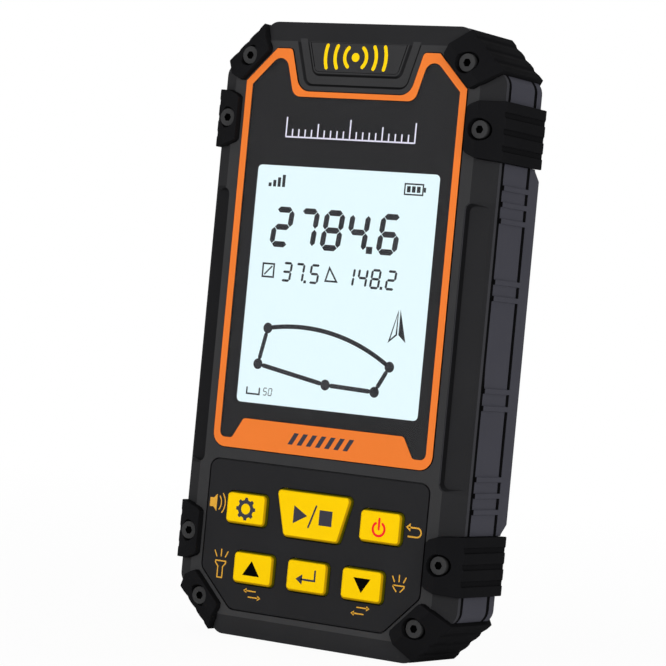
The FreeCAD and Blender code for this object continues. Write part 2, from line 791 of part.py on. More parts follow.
def front_case():
    """Bevelled front shell with every recess, opening and boss."""
    edge = housing_outline(0, CORNER_ROUND)
    bevel = tapered(housing_outline(FACE_INSET, FACE_ROUND), 0, edge, BEVEL_DEPTH)
    shell = fused([bevel, slab(edge, BEVEL_DEPTH, LIP_END)])
    shell = without(
        shell,
        [housing_slab(RIM_W, FACE_PLATE, LIP_END + PAST), housing_slab(WALL, RIM_PLATE, LIP_END + PAST)],
    )
    posts = screw_posts(BOSS_D, RIM_PLATE - LAP, LIP_END)
    posts += [post(x, z, BOARD_BOSS_D, FACE_PLATE - LAP, BOARD_FRONT) for x, z in board_screw_places()]
    shell = fused([shell] + posts)
    bezel_room = slab(grown(bezel_outline(), BEZEL_GAP), -PAST, BEZEL_FLOOR)
    seat = slab(grown(window_outline(), -BEZEL_GAP), SEAT_DEPTH, BEZEL_FLOOR + PAST)
    cutters = [bezel_room.cut(seat)]
    cutters.append(slab(grown(lcd_outline(), LCD_GAP), SEAT_DEPTH - PAST, LIP_END))
    cutters.append(nameplate_trench())
    cutters.append(slab(nameplate_outline(PLATE_GAP), -PAST, PLATE_T))
    cutters.append(slab(grown(panel_outline(), PANEL_GAP), -PAST, PANEL_T))
    cutters += [slab(square(outline), 0, FACE_PLATE + PAST) for outline in key_openings()]
    cutters += scoops()
    cutters += guard_pockets()
    cutters += screw_bars(SCREW_HOLE_D, 0, LIP_END + PAST)
    cutters += [post(x, z, BOARD_SCREW_D, FACE_PLATE, BOARD_FRONT + PAST) for x, z in board_screw_places()]
    return without(shell, cutters)


def screw_posts(diameter, start, end):
    """Bosses on the guard screw axes, kept inside the housing's walls."""
    keep = housing_slab(WALL / 2, start - PAST, end + PAST)
    return [post.common(keep) for post in screw_bars(diameter, start, end)]


def seal(start, end):
    """Black seal ring between two shells, outside the screws."""
    ring = housing_slab(GROOVE_DEPTH, start, end, CORNER_ROUND)
    ring = ring.cut(housing_slab(GROOVE_DEPTH + SEAL_W, start - PAST, end + PAST))
    return without(ring, guard_pockets())


def rib_centres():
    """Heights of the ribs on a side wall."""
    heights = [MID_Z + offset for offset in MID_RIBS_UP]
    heights += [MID_Z - offset for offset in MID_RIBS_DOWN]
    for index in range(RIBS_BY_GUARD):
        reach = SIDE_GUARD_Z + RIB_FROM_GUARD + index * RIB_PITCH
        heights += [reach, BODY_H - reach]
    return heights


def rib_blocks(inner, outer, start, end):
    """One block for every rib, on both side walls."""
    blocks = []
    for z in rib_centres():
        low = z - RIB_H / 2
        blocks.append(box(inner, outer, start, end, low, low + RIB_H))
        blocks.append(box(-outer, -inner, start, end, low, low + RIB_H))
    return blocks


def front_seal():
    """Seal between the front case and the middle frame, with the ribs' black feet."""
    nibs = rib_blocks(HALF_W - GROOVE_DEPTH - LAP, HALF_W + RIB_PROUD, BAND_START - NIB_DEPTH, BAND_START)
    return fused([seal(LIP_END, BAND_START)] + nibs)


def rear_seal():
    """Seal between the middle frame and the rear case."""
    return seal(BAND_END, REAR_START)


def port_cover_room(play):
    """Outline of the port cover seen from the left, as (depth, z) limits."""
    front = PORT_DEPTH - COVER_FRONT_REACH - play
    rear = PORT_DEPTH + COVER_REAR_REACH + play
    low = PORT_Z - COVER_H / 2 - play
    high = PORT_Z + COVER_H / 2 + play
    return front, rear, low, high


def side_slab(limits, radius, x0, x1):
    """Rounded block seen from the left, between two x."""
    front, rear, low, high = limits
    corners = [
        (Vector(x0, at(front), low), radius),
        (Vector(x0, at(rear), low), radius),
        (Vector(x0, at(rear), high), radius),
        (Vector(x0, at(front), high), radius),
    ]
    return prism(corners, Vector(x1 - x0, 0, 0))


def centred_limits(thickness, width):
    """Limits (depth, z) of a piece about the charging port's middle."""
    half_t = thickness / 2
    half_w = width / 2
    return PORT_DEPTH - half_t, PORT_DEPTH + half_t, PORT_Z - half_w, PORT_Z + half_w


def port_limits(margin):
    """Limits of the charging port's shell, made larger by a margin."""
    return centred_limits(PORT_T + 2 * margin, PORT_W + 2 * margin)


def mid_frame():
    """Ring shaped middle frame with ribs, bosses, port and torch openings."""
    ring = housing_slab(0, BAND_START, BAND_END, CORNER_ROUND)
    ring = ring.cut(housing_slab(WALL, BAND_START - PAST, BAND_END + PAST))
    bosses = screw_posts(BOSS_D, BAND_START, BAND_END)
    ribs = rib_blocks(HALF_W - GROOVE_DEPTH / 2, HALF_W + RIB_PROUD, BAND_START, BAND_END + RIB_OVERLAP)
    ring = fused([ring] + bosses + ribs)
    cutters = guard_pockets() + screw_bars(SCREW_HOLE_D, BAND_START - PAST, BAND_END + PAST)
    room = port_cover_room(COVER_PLAY)
    cutters.append(side_slab(room, COVER_ROUND, -HALF_W - PAST, -HALF_W + COVER_T + RECESS_PLAY))
    cutters.append(side_slab(port_limits(PORT_PLAY), PORT_T / 2, -HALF_W - PAST, -HALF_W + WALL + PAST))
    cutters.append(torch_rod(TORCH_D + 2 * TORCH_PLAY, BODY_H - WALL - PAST, BODY_H + PAST))
    return without(ring, cutters)


def rear_outline(inset):
    """Edge of the flat rear face for a shell moved inwards by an inset."""
    slope = math.hypot(REAR_BEVEL, REAR_INSET)
    return REAR_INSET + inset * (slope - REAR_INSET) / REAR_BEVEL


def rear_form(inset):
    """Solid of the rear case, moved inwards by an inset."""
    slope = math.hypot(REAR_BEVEL, REAR_INSET)
    edge_end = REAR_EDGE_END - inset * (slope - REAR_BEVEL) / REAR_INSET
    flat = REAR_EDGE_END + REAR_BEVEL - inset
    start = REAR_START - (PAST if inset else 0)
    edge = housing_outline(inset, 0 if inset else CORNER_ROUND)
    face = housing_outline(rear_outline(inset), 0 if inset else FACE_ROUND)
    base = fused([slab(edge, start, edge_end), tapered(edge, edge_end, face, flat)])
    side = HALF_W - inset
    inner = HALF_W - rear_outline(inset)
    half = [(inner, flat + REAR_RAISE), (side, edge_end + REAR_RAISE), (side, start)]
    profile = half + [(-x, depth) for x, depth in reversed(half)]
    raised = prism([(Vector(x, at(depth), 0), 0) for x, depth in profile], Vector(0, 0, BODY_H))
    lean = math.hypot(1, RAISE_SLOPE)

    def half_height(depth):
        return RAISE_HALF_H - RAISE_SLOPE * (depth - REAR_EDGE_END) - inset * lean

    far = flat + REAR_RAISE + PAST
    ends = [(depth, half_height(depth)) for depth in (start, far)]
    ends += [(depth, -half_height(depth)) for depth in (far, start)]
    corners = [(Vector(-HALF_W, at(depth), MID_Z + height), 0) for depth, height in ends]
    return fused([base, raised.common(prism(corners, Vector(BODY_W, 0, 0)))])


def rear_case():
    """Rear shell with its raised middle, insert bosses and speaker slots."""
    form = rear_form(0)
    bosses = [post.common(form) for post in screw_bars(BOSS_D, REAR_START, DEPTH_TO_REAR)]
    shell = fused([form.cut(rear_form(REAR_WALL))] + bosses)
    cutters = guard_pockets()
    cutters += screw_bars(INSERT_D, REAR_START - PAST, REAR_START + INSERT_LEN)
    cutters += screw_bars(SCREW_HOLE_D, REAR_START, SCREW_TIP + INSERT_TIP_ROOM)
    for index in range(SPEAKER_SLOTS):
        z = SPEAKER_Z + SPEAKER_SLOT_PITCH * (index - (SPEAKER_SLOTS - 1) / 2)
        slot = rectangle(0, z, SPEAKER_SLOT_L, SPEAKER_SLOT_W, 0)
        cutters.append(slab(slot, REAR_EDGE_END, DEPTH_TO_REAR))
    return without(shell, cutters)


def display_bezel():
    """Orange frame round the window, standing a little proud of the face."""
    ring = slab(bezel_outline(), -BEZEL_PROUD, BEZEL_FLOOR)
    return ring.cut(slab(window_outline(), -BEZEL_PROUD - PAST, BEZEL_FLOOR + PAST))


def display_window():
    """Clear window inside the bezel."""
    return slab(grown(window_outline(), -WINDOW_GAP), -WINDOW_PROUD, WINDOW_BACK)


def window_mask():
    """Black border behind the window, open over the screen."""
    mask = slab(grown(window_outline(), -WINDOW_GAP), WINDOW_BACK, SEAT_DEPTH)
    return mask.cut(slab(screen_outline(), WINDOW_BACK - PAST, SEAT_DEPTH + PAST))


def lcd_module():
    """Display module seated against the mask."""
    return slab(lcd_outline(), SEAT_DEPTH, LCD_BACK)


def display_holder():
    """Tray between the display module and the main board."""
    outline = grown(lcd_outline(), HOLDER_RIM)
    tray = slab(outline, LCD_BACK, BOARD_FRONT)
    xs = [corner[0] for corner in outline]
    zs = [corner[1] for corner in outline]
    width = (max(xs) - min(xs) - 3 * HOLDER_BAR) / 2
    height = max(zs) - min(zs) - 2 * HOLDER_BAR
    middle = (max(zs) + min(zs)) / 2
    offset = (width + HOLDER_BAR) / 2
    windows = [rectangle(side * offset, middle, width, height, 0) for side in (-1, 1)]
    return without(tray, [slab(window, LCD_BACK - PAST, BOARD_FRONT + PAST) for window in windows])


def nameplate():
    """Inlay in the island above the display."""
    return slab(nameplate_outline(0), 0, PLATE_T)


def keypad_panel():
    """Inlaid panel that the keys come through."""
    holes = [slab(outline, -PAST, PANEL_T + PAST) for outline in key_openings()]
    return without(slab(panel_outline(), 0, PANEL_T), holes)


def keypad_membrane():
    """Silicone sheet with a dome behind every key."""
    x = UPPER_KEYS_X + KEY_W / 2 + MEMBRANE_EDGE
    low = LOWER_KEYS_Z - KEY_H / 2 - MEMBRANE_EDGE
    high = START_KEY_Z + START_KEY_H / 2 + MEMBRANE_EDGE
    front = MEMBRANE_FRONT + DOME_T
    sheet = slab(rectangle(0, (low + high) / 2, 2 * x, high - low, 0), front, MEMBRANE_BACK)
    domes = [post(cx, cz, SWITCH_W, MEMBRANE_FRONT, front) for cx, cz in key_middles()]
    return fused([sheet] + domes)


def tact_switches():
    """Six tact switches on the front of the board."""
    switches = []
    for x, z in key_middles():
        body = slab(rectangle(x, z, SWITCH_W, SWITCH_W, 0), MEMBRANE_BACK + SWITCH_PLUNGER_H, BOARD_FRONT)
        plunger = post(x, z, SWITCH_PLUNGER_D, MEMBRANE_BACK, BOARD_FRONT)
        switches.append(fused([body, plunger]))
    return Part.makeCompound(switches)


def main_board():
    """Circuit board that fills the housing and clears the screw bosses."""
    board = housing_slab(WALL + BOARD_GAP, BOARD_FRONT, BOARD_BACK)
    cutters = screw_bars(BOSS_D + 2 * BOARD_GAP, BOARD_FRONT - PAST, BOARD_BACK + PAST)
    for x, z in board_screw_places():
        cutters.append(post(x, z, BOARD_SCREW_D, BOARD_FRONT - PAST, BOARD_BACK + PAST))
    return without(board, cutters)


def board_screws():
    """Pan head screws that hold the board to the front case."""
    screws = []
    for x, z in board_screw_places():
        head = post(x, z, BOARD_SCREW_HEAD_D, BOARD_BACK, BOARD_BACK + BOARD_SCREW_HEAD_H)
        shank = post(x, z, BOARD_SCREW_D - BORE_PLAY, BOARD_BACK - BOARD_SCREW_LEN, BOARD_BACK)
        screws.append(fused([head, shank]))
    return Part.makeCompound(screws)


def gnss_antenna():
    """Ceramic patch antenna on the rear of the board."""
    top = BODY_H - ANTENNA_DROP
    middle = top - ANTENNA_W / 2
    back = BOARD_BACK + ANTENNA_T
    patch = rectangle(0, middle, ANTENNA_W, ANTENNA_W, 0)
    pin = post(0, middle, ANTENNA_PIN_D, back, back + ANTENNA_PIN_H)
    return fused([slab(patch, BOARD_BACK, back), pin])


def rf_shield():
    """Shield can over the receiver chip."""
    can = rectangle(-SHIELD_X, MID_Z + SHIELD_H, SHIELD_W, SHIELD_H, 0)
    return slab(can, BOARD_BACK, BOARD_BACK + SHIELD_T)


def battery_pack():
    """Flat lithium pack in the raised rear."""
    outline = rectangle(0, MID_Z, BATTERY_W, BATTERY_H, 0)
    return slab(outline, RAISED_BACK - BATTERY_T, RAISED_BACK)


def speaker():
    """Round speaker behind the slots of the rear case."""
    back = REAR_EDGE_END + REAR_BEVEL - REAR_WALL
    middle = back - SPEAKER_T / 2
    frame = post(0, SPEAKER_Z, SPEAKER_D, middle, back, SPEAKER_SIDES)
    magnet = post(0, SPEAKER_Z, SPEAKER_MAGNET_D, back - SPEAKER_T, middle, SPEAKER_SIDES)
    cone = post(0, SPEAKER_Z, SPEAKER_CONE_D, back - SPEAKER_CONE_DEEP, back + PAST, SPEAKER_SIDES)
    return fused([frame, magnet]).cut(cone)


def torch_rod(diameter, low, high):
    """Upright rod on the torch's axis."""
    middle = Vector(0, at(BOARD_BACK + TORCH_BASE / 2), low)
    return bar(middle, Vector(1, 0, 0), Vector(0, 0, high - low), diameter, 4 * quarter_flats(diameter / 2))


def torch_led():
    """Lamp of the torch, on the rear of the board under its lens."""
    high = BODY_H - TORCH_LENS_T
    low = high - TORCH_BASE_H
    half = TORCH_BASE / 2
    base = box(-half, half, BOARD_BACK, BOARD_BACK + TORCH_BASE, low, BODY_H - WALL - TORCH_PLAY)
    return fused([base, torch_rod(TORCH_LAMP_D, low, high)])


def torch_lens():
    """Clear lens set flush in the top wall."""
    return torch_rod(TORCH_D, BODY_H - TORCH_LENS_T, BODY_H)


def usb_socket():
    """Charging socket on the rear of the board, open to the left."""
    start = -HALF_W + COVER_T + RECESS_PLAY
    end = start + PORT_LEN
    shell = side_slab(port_limits(0), PORT_T / 2, start, end)
    mouth = side_slab(port_limits(-PORT_SHELL), PORT_T / 2 - PORT_SHELL, start - PAST, end - PORT_BACK)
    limits = centred_limits(TONGUE_T, TONGUE_W)
    tongue = side_slab(limits, 0, start + TONGUE_START, end - PORT_BACK / 2)
    return fused([shell.cut(mouth), tongue])


def port_cover():
    """Rubber flap over the charging port, hinged along its rear edge."""
    outer = -HALF_W
    flap = side_slab(port_cover_room(0), COVER_ROUND, outer, outer + COVER_T)
    limits = centred_limits(COVER_PLUG_T, COVER_PLUG_W)
    plug = side_slab(limits, COVER_PLUG_T / 2, outer + COVER_T, outer + COVER_T + COVER_PLUG_IN)
    return fused([flap, plug])


def guard_screws():
    """Socket head screws that clamp the guards and the whole housing."""
    screws = []
    for x, z in screw_places():
        head = rod(x, z, SCREW_HEAD_D, SCREW_HEAD_TOP, SCREW_SEAT)
        shank = post(x, z, SCREW_D, SCREW_SEAT, SCREW_TIP)
        radius = SCREW_HEX / math.sqrt(3)
        hexagon = []
        for corner in range(6):
            angle = math.radians(60 * corner)
            hexagon.append((x + radius * math.cos(angle), z + radius * math.sin(angle), 0))
        socket = slab(hexagon, SCREW_HEAD_TOP - PAST, SCREW_HEAD_TOP + SCREW_HEX_DEEP)
        screws.append(fused([head, shank]).cut(socket))
    return Part.makeCompound(screws)


def threaded_inserts():
    """Brass inserts in the bosses of the rear case."""
    inserts = []
    for x, z in screw_places():
        body = post(x, z, INSERT_D, REAR_START, REAR_START + INSERT_LEN)
        inserts.append(body.cut(post(x, z, INSERT_BORE, REAR_START - PAST, REAR_START + INSERT_LEN + PAST)))
    return Part.makeCompound(inserts)


def pieces():
    """Every piece by node name."""
    made = {
        "front_case": front_case(),
        "front_seal": front_seal(),
        "mid_frame": mid_frame(),
        "rear_seal": rear_seal(),
        "rear_case": rear_case(),
        "display_bezel": display_bezel(),
        "display_window": display_window(),
        "window_mask": window_mask(),
        "lcd_module": lcd_module(),
        "display_holder": display_holder(),
        "nameplate": nameplate(),
        "keypad_panel": keypad_panel(),
        "keypad_membrane": keypad_membrane(),
        "tact_switches": tact_switches(),
        "main_board": main_board(),
        "board_screws": board_screws(),
        "gnss_antenna": gnss_antenna(),
        "rf_shield": rf_shield(),
        "battery_pack": battery_pack(),
        "speaker": speaker(),
        "torch_led": torch_led(),
        "torch_lens": torch_lens(),
        "usb_socket": usb_socket(),
        "port_cover": port_cover(),
        "guard_screws": guard_screws(),
        "threaded_inserts": threaded_inserts(),
    }
    for name, face in key_faces().items():
        made[name] = key(face)
    side = at_side(guard(SIDE_GUARD_HALF, side_groove, SLOT_PITCH))
    for level, hand, shape in four_ways(side):
        made[f"side_guard_{level}_{hand}"] = shape
    corner = at_corner(guard(CORNER_GUARD_HALF, corner_groove, NOTCH_PITCH))
    for level, hand, shape in four_ways(corner):
        made[f"corner_guard_{level}_{hand}"] = shape
    return made


def main():
    """Build every piece and write one STEP file for each."""
    os.makedirs("parts", exist_ok=True)
    for name, shape in pieces().items():
        if not shape.isValid():
            FreeCAD.Console.PrintWarning(f"{name} is not valid\n")
        shape.exportStep(f"parts/{name}.step")


if __name__ == "__main__":
    main()
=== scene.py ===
"""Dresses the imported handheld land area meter: finishes, printed marks, lit display, studio and camera.

Sizes are in millimetres and are turned into Blender's metres where a mesh is made.
"""

import json
import logging
import math
from dataclasses import dataclass, field, replace
from enum import Enum
from itertools import product

import bmesh
import bpy
from mathutils import Matrix, Vector

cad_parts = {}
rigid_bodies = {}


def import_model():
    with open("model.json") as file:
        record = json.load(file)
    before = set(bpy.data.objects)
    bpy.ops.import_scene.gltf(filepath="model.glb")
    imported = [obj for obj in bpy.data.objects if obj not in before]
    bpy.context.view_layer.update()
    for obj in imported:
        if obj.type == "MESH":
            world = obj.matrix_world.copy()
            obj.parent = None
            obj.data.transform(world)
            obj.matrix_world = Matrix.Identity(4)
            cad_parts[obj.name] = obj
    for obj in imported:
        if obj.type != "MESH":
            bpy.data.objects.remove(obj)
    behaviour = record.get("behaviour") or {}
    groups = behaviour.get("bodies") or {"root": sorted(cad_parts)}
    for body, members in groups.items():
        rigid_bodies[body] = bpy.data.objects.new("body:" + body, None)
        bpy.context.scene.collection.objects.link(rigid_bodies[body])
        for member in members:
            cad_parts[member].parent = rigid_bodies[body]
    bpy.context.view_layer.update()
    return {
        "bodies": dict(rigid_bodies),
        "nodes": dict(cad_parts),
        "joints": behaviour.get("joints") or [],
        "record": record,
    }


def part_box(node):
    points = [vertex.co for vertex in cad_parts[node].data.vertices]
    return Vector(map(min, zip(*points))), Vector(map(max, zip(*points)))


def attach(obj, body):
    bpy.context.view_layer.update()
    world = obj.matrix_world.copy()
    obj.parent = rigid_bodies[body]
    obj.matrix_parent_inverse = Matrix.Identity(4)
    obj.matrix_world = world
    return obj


LOG = logging.getLogger("land_area_meter")
MM = 0.001
FINISHED = "_finished"

Point = tuple[float, float]
Place = tuple[float, float, float]
Colour = tuple[float, float, float]
Socket = bpy.types.NodeSocket


def settle(item: object, **settings: object) -> None:
    """Sets several properties of one item."""
    for key, value in settings.items():
        setattr(item, key, value)


# Marks that are printed on a flat surface

SHARPEST = 0.35  # least cosine of half a bend that a pen line's corner still follows
CAP_HALF = 45.0  # degrees from the middle of a line's round end to its outer points


def corners(mesh: bmesh.types.BMesh, points: tuple[Point, ...]) -> list[bmesh.types.BMVert]:
    """Adds points to a mesh, in the plane y = 0."""
    return [mesh.verts.new((x, 0.0, z)) for x, z in points]


@dataclass(frozen=True)
class Patch:
    """A filled shape."""

    points: tuple[Point, ...]  # corners in order, as (x, z) in millimetres

    def fill(self, mesh: bmesh.types.BMesh) -> None:
        """Adds the shape to a mesh as one flat face."""
        mesh.faces.new(corners(mesh, self.points))


@dataclass(frozen=True)
class Band:
    """A ring between two loops of as many points."""

    outer: tuple[Point, ...]  # outer loop as (x, z) in millimetres
    inner: tuple[Point, ...]  # inner loop with the same number of points

    def fill(self, mesh: bmesh.types.BMesh) -> None:
        """Adds the ring to a mesh as a row of flat faces.

        Args:
            mesh: what the faces are added to.
        """
        outside, inside = corners(mesh, self.outer), corners(mesh, self.inner)
        for index in range(len(outside)):
            mesh.faces.new((outside[index - 1], outside[index], inside[index], inside[index - 1]))


@dataclass(frozen=True)
class Stroke:
    """A pen line of even width with round ends."""

    points: tuple[Point, ...]  # middle of the line, as (x, z) in millimetres
    width: float  # width of the line in millimetres
    closed: bool = False  # whether the last point joins the first

    def side(self, hand: int) -> list[Point]:
        """Points along one side of the line.

        Args:
            hand: 1 for the left side of the way the line runs, -1 for the right.

        Returns:
            One point for each point of the line.
        """
        count = len(self.points)
        result = []
        for index, (x, z) in enumerate(self.points):
            before = self.points[index - 1] if index or self.closed else None
            after = self.points[(index + 1) % count] if index < count - 1 or self.closed else None
            ways = []
            if before:
                ways.append(Vector((x - before[0], z - before[1])).normalized())
            if after:
                ways.append(Vector((after[0] - x, after[1] - z)).normalized())
            way = (ways[0] + ways[-1]).normalized()
            reach = hand * self.width / 2 / max(way.dot(ways[0]), SHARPEST)
            result.append((x - way.y * reach, z + way.x * reach))
        return result

    def fill(self, mesh: bmesh.types.BMesh) -> None:
        """Adds the line to a mesh as flat faces.

        Args:
            mesh: what the faces are added to.
        """
        left, right = self.side(1), self.side(-1)
        if self.closed:
            Band(tuple(left), tuple(right)).fill(mesh)
        else:
            Patch(tuple(left + self.cap(-1, -2) + right[::-1] + self.cap(0, 1))).fill(mesh)

    def cap(self, end: int, neighbour: int) -> list[Point]:
        """Points of a round end, from the left side to the right as seen outwards.

        Args:
            end: index of the end's point.
            neighbour: index of the point next to it.

        Returns:
            The points between the two sides.
        """
        x, z = self.points[end]
        from_x, from_z = self.points[neighbour]
        outwards = math.degrees(math.atan2(z - from_z, x - from_x))
        return arc((x, z), self.width / 2, outwards + CAP_HALF, outwards - CAP_HALF, 2)


Mark = Patch | Band | Stroke


def arc(centre: Point, radius: float, start: float, end: float, steps: int) -> list[Point]:
    """Points of an arc in so many steps, between two angles in degrees, anticlockwise from +X."""
    angles = [math.radians(start + (end - start) * step / steps) for step in range(steps + 1)]
    return [(centre[0] + radius * math.cos(a), centre[1] + radius * math.sin(a)) for a in angles]


def disc(centre: Point, radius: float, steps: int = 24) -> Patch:
    """A filled circle of so many steps."""
    return Patch(tuple(arc(centre, radius, 0, 360, steps)[:-1]))


def block(x: float, z: float, width: float, height: float, lean: float = 0.0) -> Patch:
    """A filled upright block whose top leans sideways.

    Args:
        x: middle of the block in millimetres.
        z: height of its middle.
        width: size sideways.
        height: size upwards.
        lean: how far the top stands to the right of the foot.

    Returns:
        The block.
    """
    left, right = x - width / 2, x + width / 2
    foot, top = z - height / 2, z + height / 2
    half = lean / 2
    return Patch(((left - half, foot), (right - half, foot), (right + half, top), (left + half, top)))


def shifted(points: tuple[Point, ...], x: float, z: float) -> tuple[Point, ...]:
    """Points moved in the plane."""
    return tuple((px + x, pz + z) for px, pz in points)


def moved(marks: list[Mark], x: float, z: float) -> list[Mark]:
    """Copies of marks, moved in the plane.

    Args:
        marks: what is moved.
        x: millimetres to the right.
        z: millimetres upwards.

    Returns:
        The moved marks, in the same order.
    """
    result: list[Mark] = []
    for mark in marks:
        if isinstance(mark, Band):
            result.append(Band(shifted(mark.outer, x, z), shifted(mark.inner, x, z)))
        else:
            result.append(replace(mark, points=shifted(mark.points, x, z)))
    return result


# Effects that several finishes share

class Tree:
    """Short calls for placing and linking nodes in one tree."""

    def __init__(self, tree: bpy.types.NodeTree) -> None:
        """Keeps the tree that the calls work on."""
        self.tree = tree

    def add(self, kind: str, links: dict | None = None, **settings: object) -> bpy.types.Node:
        """Adds a node.

        Args:
            kind: Blender's name of the node type.
            links: what each input gets, by name or number: a socket or a value.
            settings: properties of the node.

        Returns:
            The new node.
        """
        node = self.tree.nodes.new(kind)
        settle(node, **settings)
        self.fill(node, links or {})
        return node

    def fill(self, node: bpy.types.Node, links: dict) -> None:
        """Links sockets into a node's inputs, or sets the inputs' own values.

        Args:
            node: the node.
            links: what each input gets, by name or number: a socket or a value.
        """
        for key, value in links.items():
            socket = node.inputs[key]
            if isinstance(value, Socket):
                self.tree.links.new(value, socket)
            elif socket.type == "RGBA":
                socket.default_value = (*value, 1.0)
            else:
                socket.default_value = value

    def effect(self, effect: "Effect", links: dict) -> bpy.types.Node:
        """Adds one of the shared effects."""
        return self.add("ShaderNodeGroup", links, node_tree=effect.group())

    def handled(self, roughness: float, change: float) -> Socket:
        """Roughness of a surface that hands have changed by up to so much."""
        return self.effect(Effect.HANDLING, {"Roughness": roughness, "Change": change}).outputs["Roughness"]

    def maths(self, operation: str, first: object, second: object = 0.0) -> Socket:
        """Adds a Math node and gives its result."""
        return self.add("ShaderNodeMath", {0: first, 1: second}, operation=operation).outputs[0]

    def times(self, first: object, *others: object) -> Socket:
        """Product of several numbers.

        Args:
            first: the first factor.
            others: the other factors.

        Returns:
            The product.
        """
        for factor in others:
            first = self.maths("MULTIPLY", first, factor)
        return first

    def between(self, value: object, low: float, high: float) -> Socket:
        """1 where a value lies between two limits, else 0."""
        return self.times(self.maths("GREATER_THAN", value, low), self.maths("LESS_THAN", value, high))

    def mixed(self, share: object, first: object, second: object) -> Socket:
        """Mixes two colours by the share of the second."""
        return self.add("ShaderNodeMix", {0: share, 6: first, 7: second}, data_type="RGBA").outputs[2]

    def ranged(
        self, value: object, low: float, high: float, out_low: object = 0.0, out_high: object = 1.0,
    ) -> Socket:
        """Maps a span of a value to another span, and stops at its ends."""
        links = {0: value, 1: low, 2: high, 3: out_low, 4: out_high}
        return self.add("ShaderNodeMapRange", links).outputs[0]

    def faded(self, share: object, first: float, second: object) -> Socket:
        """A number between two, by the share of the second."""
        return self.ranged(share, 0.0, 1.0, first, second)

    def parts(self, kind: str) -> tuple[Socket, ...]:
        """X, Y and Z of the object's place or of its normal, by the coordinate's name."""
        whole = self.add("ShaderNodeTexCoord").outputs[kind]
        return tuple(self.add("ShaderNodeSeparateXYZ", {0: whole}).outputs)

    def along(self, kind: str, way: Place) -> Socket:
        """Length of the object's place or of its normal along one way."""
        whole = self.add("ShaderNodeTexCoord").outputs[kind]
        return self.add("ShaderNodeVectorMath", {0: whole, 1: way}, operation="DOT_PRODUCT").outputs["Value"]

    def scaled(self, colour: object, level: object) -> Socket:
        """Multiplies a colour by a number."""
        return self.add("ShaderNodeVectorMath", {0: colour, "Scale": level}, operation="SCALE").outputs[0]

    def noise(self, scale: object, detail: float) -> Socket:
        """Adds a noise texture over the object's place and gives its value."""
        links = {"Vector": self.add("ShaderNodeTexCoord").outputs["Object"], "Scale": scale, "Detail": detail}
        return self.add("ShaderNodeTexNoise", links).outputs["Fac"]


class Effect(Enum):
    """Shared shader effects, by the name of their node group."""

    GRAIN = "MouldGrain"
    HANDLING = "HandlingFilm"
    FACETS = "FacetTone"

    def group(self) -> bpy.types.NodeTree:
        """The effect's node group, which is built the first time.

        Returns:
            The group.
        """
        group = bpy.data.node_groups.get(self.value)
        if not group:
            group = bpy.data.node_groups.new(self.value, "ShaderNodeTree")
            inputs, outputs, build = RECIPES[self]
            for in_out, labels in (("INPUT", inputs), ("OUTPUT", outputs)):
                for label in labels:
                    kind = "NodeSocketColor" if label in COLOURS else "NodeSocketFloat"
                    group.interface.new_socket(label, in_out=in_out, socket_type=kind)
            tree = Tree(group)
            given = tree.add("NodeGroupInput").outputs
            tree.add("NodeGroupOutput", build(tree, given))
        return group


CLOUDS = 90.0  # clouds in a metre of a moulded surface
SMEARS = 55.0  # rubbed places in a metre
NOISE_SPAN = (0.3, 0.7)  # values between which nearly all of a noise lies
SMEAR_SPAN = (0.35, 0.65)


def grain_links(tree: Tree, given: bpy.types.NodeOutputs) -> dict[str, Socket]:
    """Fine grain of a moulded surface, with a faint cloud in its colour.

    Args:
        tree: the group's tree.
        given: the group's inputs.

    Returns:
        What each of the group's outputs gets.
    """
    fine = tree.noise(tree.maths("DIVIDE", 1 / MM, given["Grain size"]), 2.0)
    wide = tree.noise(CLOUDS, 3.0)
    cloud = tree.times(tree.ranged(wide, *NOISE_SPAN, -1.0, 1.0), given["Cloud"])
    speck = tree.times(tree.ranged(fine, *NOISE_SPAN, -0.5, 0.5), given["Cloud"])
    level = tree.maths("ADD", tree.maths("ADD", cloud, speck), 1.0)
    return {"Colour": tree.scaled(given["Colour"], level), "Height": fine}


def handling_links(tree: Tree, given: bpy.types.NodeOutputs) -> dict[str, Socket]:
    """Smooth and rubbed places that hands leave, as a roughness."""
    change = tree.times(tree.ranged(tree.noise(SMEARS, 4.0), *SMEAR_SPAN, -1.0, 1.0), given["Change"])
    return {"Roughness": tree.maths("ADD", given["Roughness"], change)}


# Spans of a normal's part along one axis, over which a tone comes in, mostly where painted light and shade
# change

WALL_SPAN = (0.25, 0.4)  # to and fro, from a wall to a bevel
FRONT_SPAN = (0.93, 0.985)  # to and fro, from a bevel to a front flat
FLAT_SPAN = (-0.9, -0.99)  # backwards, from a slope to a flat that faces the front
DOWN_SPAN = (-0.2, -0.6)  # upwards, from level to looking down
UP_SPAN = (0.2, 0.6)  # upwards, from level to looking up
OUT_SPAN = (0.7, 0.85)  # outwards, from a guard's flank to its outer side
RIGHT_SPAN = (0.2, 0.5)  # to the right, from a recess's other walls to its left one
STEEP_SPAN = (-0.5, -0.3)  # backwards, from a slope to an upright wall
SCOOP_SPAN = (-0.5, -0.6)  # backwards, from a scoop's walls to its floor
END_SPAN = (0.4, 0.6)  # up or down, from a scoop's inner wall to its ends


